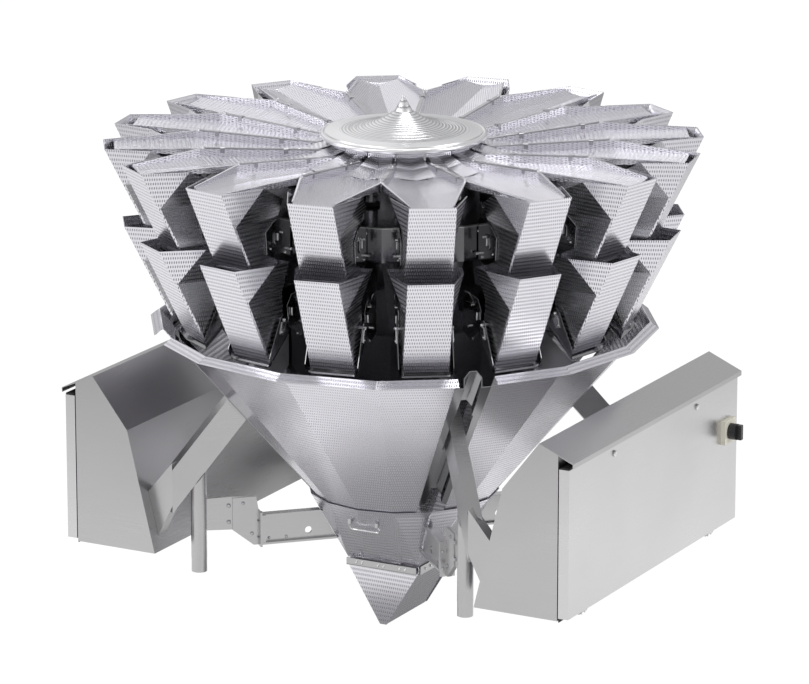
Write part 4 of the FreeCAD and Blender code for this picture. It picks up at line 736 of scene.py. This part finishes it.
class WEIGHER_OT_outlet_fittings(bpy.types.Operator):
    """Adds the outlet's folded top edges with their bolts, the hinge plates and the funnel's bail"""
    bl_idname = "weigher.outlet_fittings"
    bl_label = "Outlet fittings"

    def execute(self, context):
        edges, bits = Stock("outlet_edges"), Stock("outlet_bolts")
        _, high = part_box("outlet_cheeks")
        half, depth, top = high[0], high[1], high[2]
        for turn in (0, math.pi):
            frame = Matrix.Rotation(turn, 4, "Z")
            edges.block((-half + 0.002, -depth - 0.0125, top - 0.020),
                        (half - 0.002, -depth - 0.0095, top - 0.001), frame, 0.0008)
            edges.block((-half + 0.002, -depth - 0.0125, top - 0.0215), (half - 0.002, -depth, top - 0.019),
                        frame, 0.0006)
            for across in (-0.078, -0.060, -0.009, 0.009, 0.060, 0.078):
                bits.bolt((across, -depth - 0.0125, top - 0.0105), (0, -1, 0), 0.0040, frame)
            edges.block((half - 0.004, -depth + 0.010, top - 0.026),
                        (half + 0.0016, depth - 0.010, top - 0.002), frame, 0.0008)
            for along in (-0.085, -0.055, 0.055, 0.085):
                bits.bolt((half + 0.0016, along, top - 0.013), (1, 0, 0), 0.0038, frame)
        self.add_bail(edges, bits)
        edges.done("ground_sheet", "machine", "dimpled_steel")
        bits.done("bright_steel", "machine", "polished_steel")
        return {"FINISHED"}

    def add_bail(self, edges, bits):
        """The wire handle on the funnel's front, between two welded eyes."""
        half, drop, level = 0.043, 0.022, 0.146
        lean = (0.2658 - 0.122) / 0.190
        face = -(0.122 + (level - 0.006) * lean) - 0.004
        route = []
        bend = [(1, 0), (1.06, 0.25), (1.10, 0.6), (1.06, 0.88), (0.96, 1), (0.5, 1.02)]
        for across, down in [(-across, down) for across, down in bend] + [(0, 1.03)] + bend[::-1]:
            out = face - 0.004 - down * 0.006 + down * drop * lean
            route.append((across * half, out, level - down * drop))
        bits.bent_bar(route, 0.0024, Matrix.Identity(4))
        for side in (-1, 1):
            edges.block((side * half - 0.005, face - 0.008, level - 0.005),
                        (side * half + 0.005, face + 0.004, level + 0.009), Matrix.Identity(4), 0.001)


class WEIGHER_OT_door_fittings(bpy.types.Operator):
    """Adds the doors' rubber seals, black strips on their top edges as painted shade under the hood's lip,
    lock barrels and hinge screws, and the switch's collar
    """
    bl_idname = "weigher.door_fittings"
    bl_label = "Door fittings"

    def execute(self, context):
        for side, turn in (("right", 0), ("left", math.pi)):
            frame = Matrix.Rotation(turn, 4, "Z")
            low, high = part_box(f"{side}_cabinet_door")
            face = max(abs(low[0]), abs(high[0]))
            inner = min(abs(low[0]), abs(high[0]))
            half, foot, top = high[1], low[2], high[2]
            seals_and_shade_strips, bits = Stock(f"{side}_door_seal_and_shade_strip"), Stock(f"{side}_door_bits")
            for corner_low, corner_high in (((-half + 0.006, foot + 0.006), (half - 0.006, foot + 0.014)),
                                            ((-half + 0.006, top - 0.014), (half - 0.006, top - 0.006)),
                                            ((-half + 0.006, foot + 0.014), (-half + 0.014, top - 0.014)),
                                            ((half - 0.014, foot + 0.014), (half - 0.006, top - 0.014))):
                seals_and_shade_strips.block((inner - 0.0022, corner_low[0], corner_low[1]),
                            (inner - 0.0002, corner_high[0], corner_high[1]), frame)
            # Painted shade: two black strips on top of the door stand in for the shadow under the hood's lip
            for near, far in ((inner + 0.004, face - 0.0035), (face - 0.0030, face - 0.0004)):
                seals_and_shade_strips.block((near, -half + 0.001, top + 0.0003), (far, half - 0.001, top + 0.0048),
                            frame, 0.0004)
            seals_and_shade_strips.done("black_rubber", f"{side}_door", "satin_steel")
            for along in (-0.260, 0.260):
                own = frame @ Matrix.Translation((face + 0.003, along, 0.468))
                own = own @ Matrix.Rotation(math.pi / 2, 4, "Y")
                bits.turned([(0.0085, 0), (0.0085, 0.001), (0.0070, 0.0016)], own, 32)
                bits.block((-0.0045, -0.0011, 0.0012), (0.0045, 0.0011, 0.0022), own)
            for along in (-0.400, 0.400):
                for shift in (-0.010, 0.010):
                    bits.bolt((inner + 0.010, along + shift, foot - 0.0002), (0, 0, -1), 0.0026, frame)
            bits.done("bright_steel", f"{side}_door", "polished_steel")
        self.add_switch_collar()
        return {"FINISHED"}

    def add_switch_collar(self):
        """The raised ring round the knob and the four screws of the switch's plate."""
        low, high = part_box("main_switch_base")
        middle = (0, (low[1] + high[1]) / 2, (low[2] + high[2]) / 2)
        half = (high[1] - low[1]) / 2
        knob_low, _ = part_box("main_switch_knob")
        plate_face = 0.7852
        depth = max(min(knob_low[0] - 0.0006 - plate_face, 0.008), 0.003)
        axis = Matrix.Translation((plate_face, *middle[1:])) @ Matrix.Rotation(math.pi / 2, 4, "Y")
        collar, screws = Stock("switch_collar"), Stock("switch_screws")
        collar.turned([(half * 0.86, 0), (half * 0.86, depth * 0.6), (half * 0.78, depth)], axis, 48)
        collar.done("cream_plastic", "right_door", "switch_cream")
        for across in (-0.8, 0.8):
            for up in (-0.8, 0.8):
                screws.bolt((plate_face, middle[1] + across * half, middle[2] + up * half), (1, 0, 0), 0.0028,
                            Matrix.Identity(4))
        screws.done("bright_steel", "right_door", "satin_steel")


class WEIGHER_OT_stage(bpy.types.Operator):
    """Adds the floor, the soft lights, the sky and the camera"""
    bl_idname = "weigher.stage"
    bl_label = "Stage"

    def execute(self, context):
        chosen = settings()
        self.add_floor()
        self.add_sky()
        self.add_lights()
        self.add_camera(chosen)
        bpy.context.scene.view_settings.view_transform = "Standard"
        return {"FINISHED"}

    def add_floor(self):
        low, _ = CAD_BOX
        mesh = bpy.data.meshes.new("floor")
        shape = bmesh.new()
        bmesh.ops.create_grid(shape, x_segments=1, y_segments=1, size=30)
        shape.to_mesh(mesh)
        shape.free()
        floor = bpy.data.objects.new("floor", mesh)
        floor.location = (0, 0, low[2] - 0.004)
        bpy.context.scene.collection.objects.link(floor)
        material = bpy.data.materials.new("pale_floor")
        material.use_nodes = True
        paint = Paint(material.node_tree)
        shader = material.node_tree.nodes["Principled BSDF"].inputs
        paint.feed(shader["Base Color"], (0.8, 0.8, 0.8, 1))
        paint.feed(shader["Roughness"], 0.9)
        paths = paint.node("ShaderNodeLightPath")
        spot = paint.vector_maths("MULTIPLY", paint.node("ShaderNodeTexCoord")["Object"], (1, 1, 0))
        away = paint.node("ShaderNodeVectorMath", {"operation": "LENGTH"}, {0: spot})["Value"]
        # Painted light and shade that only glossy rays see on the floor: dark round the middle as the
        # machine's shadow, brightest in a ring close by, and darker again far out
        painted_floor_light_and_shade = paint.node("ShaderNodeValToRGB",
                          {"stops": [(0.0, (0.28, 0.28, 0.28, 1)), (0.045, (0.34, 0.34, 0.34, 1)),
                                     (0.066, (1.0, 1.0, 1.0, 1)), (0.11, (0.80, 0.80, 0.80, 1)),
                                     (0.17, (0.98, 0.98, 0.98, 1)), (0.36, (0.90, 0.90, 0.90, 1)),
                                     (0.62, (0.36, 0.36, 0.36, 1)), (1.0, (0.30, 0.30, 0.30, 1))]},
                          {0: away / 8})["Color"]
        shade = paint.mix(paths["Is Camera Ray"], painted_floor_light_and_shade, (1.06, 1.06, 1.06, 1))
        glow = paint.node("ShaderNodeEmission", {}, {"Color": shade, "Strength": 1.0})["Emission"]
        plain = Wire(paint, material.node_tree.nodes["Principled BSDF"].outputs["BSDF"])
        seen = (paths["Is Camera Ray"] * 0.93).maths("MAXIMUM", paths["Is Glossy Ray"])
        mixed = paint.node("ShaderNodeMixShader", {}, {0: seen, 1: plain, 2: glow})["Shader"]
        paint.feed(material.node_tree.nodes["Material Output"].inputs["Surface"], mixed)
        mesh.materials.append(material)

    def add_sky(self):
        world = bpy.data.worlds.new("studio")
        world.use_nodes = True
        bpy.context.scene.world = world
        paint = Paint(world.node_tree)
        direction = paint.node("ShaderNodeTexCoord")["Generated"]
        height = paint.node("ShaderNodeSeparateXYZ", {}, {0: direction})["Z"]
        room = paint.node("ShaderNodeValToRGB",
                          {"stops": [(0.0, (0.30, 0.30, 0.31, 1)), (0.5, (0.24, 0.24, 0.25, 1)),
                                     (0.56, (0.62, 0.62, 0.63, 1)), (0.62, (1.0, 1.0, 1.0, 1)),
                                     (0.80, (0.95, 0.95, 0.96, 1)), (1.0, (0.62, 0.62, 0.63, 1))]},
                          {0: height * 0.5 + 0.5})["Color"]
        turn = settings().camera_turn
        sideways = paint.vector_maths("DOT_PRODUCT", direction, (math.cos(turn), math.sin(turn), 0), "Value")
        panel = paint.node("ShaderNodeValToRGB",
                           {"stops": [(0.0, (0.75, 0.75, 0.75, 1)), (0.34, (0.90, 0.90, 0.90, 1)),
                                      (0.44, (1.0, 1.0, 1.0, 1)), (0.49, (1.0, 1.0, 1.0, 1)),
                                      (0.53, (0.52, 0.52, 0.52, 1)), (0.66, (0.62, 0.62, 0.62, 1)),
                                      (1.0, (0.70, 0.70, 0.70, 1))]},
                           {0: sideways * 0.5 + 0.5})["Color"]
        upper = (height > 0.10) * 1.0
        room = paint.mix(upper, room, paint.vector_maths("MULTIPLY", room, panel))
        paths = paint.node("ShaderNodeLightPath")
        shade = paint.mix(paths["Is Camera Ray"], room, (1, 1, 1, 1))
        back = world.node_tree.nodes["Background"].inputs
        paint.feed(back["Color"], shade)
        back["Strength"].default_value = 1.0

    def add_lights(self):
        for name, place, size, power in (("key_light", (-2.5, -7.6, 5.2), 4.0, 110),
                                         ("fill_light", (-6.5, -3.5, 4.0), 2.5, 90),
                                         ("side_light", (7.0, 0.5, 2.4), 4.0, 120),
                                         ("top_light", (0.5, 1.0, 6.5), 3.0, 120)):
            lamp = bpy.data.lights.new(name, "AREA")
            lamp.size = size
            lamp.energy = power
            light = bpy.data.objects.new(name, lamp)
            light.location = place
            aim = Vector((0, 0, 0.7)) - Vector(place)
            light.rotation_euler = aim.to_track_quat("-Z", "Y").to_euler()
            bpy.context.scene.collection.objects.link(light)

    def add_camera(self, chosen):
        lens = bpy.data.cameras.new("camera")
        lens.lens = chosen.camera_lens
        lens.sensor_width = 36
        lens.shift_x = 0.001
        lens.clip_end = 100
        camera = bpy.data.objects.new("camera", lens)
        turn = chosen.camera_turn
        camera.location = (chosen.camera_reach * math.sin(turn), -chosen.camera_reach * math.cos(turn),
                           chosen.camera_height)
        camera.rotation_euler = (math.pi / 2 - chosen.camera_pitch, 0, turn)
        bpy.context.scene.collection.objects.link(camera)
        bpy.context.scene.camera = camera


class WEIGHER_PT_panel(bpy.types.Panel):
    """Lists the weigher's operators"""
    bl_idname = "WEIGHER_PT_panel"
    bl_label = "Weigher"
    bl_space_type = "VIEW_3D"
    bl_region_type = "UI"
    bl_category = "Weigher"

    def draw(self, context):
        for operator in OPERATORS:
            self.layout.operator(operator.bl_idname)
        for name in WeigherSettings.__annotations__:
            self.layout.prop(context.scene.weigher, name)


OPERATORS = (WEIGHER_OT_finishes, WEIGHER_OT_spun_cone, WEIGHER_OT_hangers, WEIGHER_OT_gate_fittings,
             WEIGHER_OT_pan_fittings, WEIGHER_OT_column_trim, WEIGHER_OT_frame_bolts,
             WEIGHER_OT_outlet_fittings, WEIGHER_OT_door_fittings, WEIGHER_OT_stage)
CLASSES = (WeigherSettings, *OPERATORS, WEIGHER_PT_panel)


def register():
    for item in CLASSES:
        bpy.utils.register_class(item)
    bpy.types.Scene.weigher = bpy.props.PointerProperty(type=WeigherSettings)


def unregister():
    del bpy.types.Scene.weigher
    for item in reversed(CLASSES):
        bpy.utils.unregister_class(item)


def main():
    register()
    for operator in OPERATORS:
        group, name = operator.bl_idname.split(".")
        getattr(getattr(bpy.ops, group), name)()


if __name__ == "__main__":
    main()
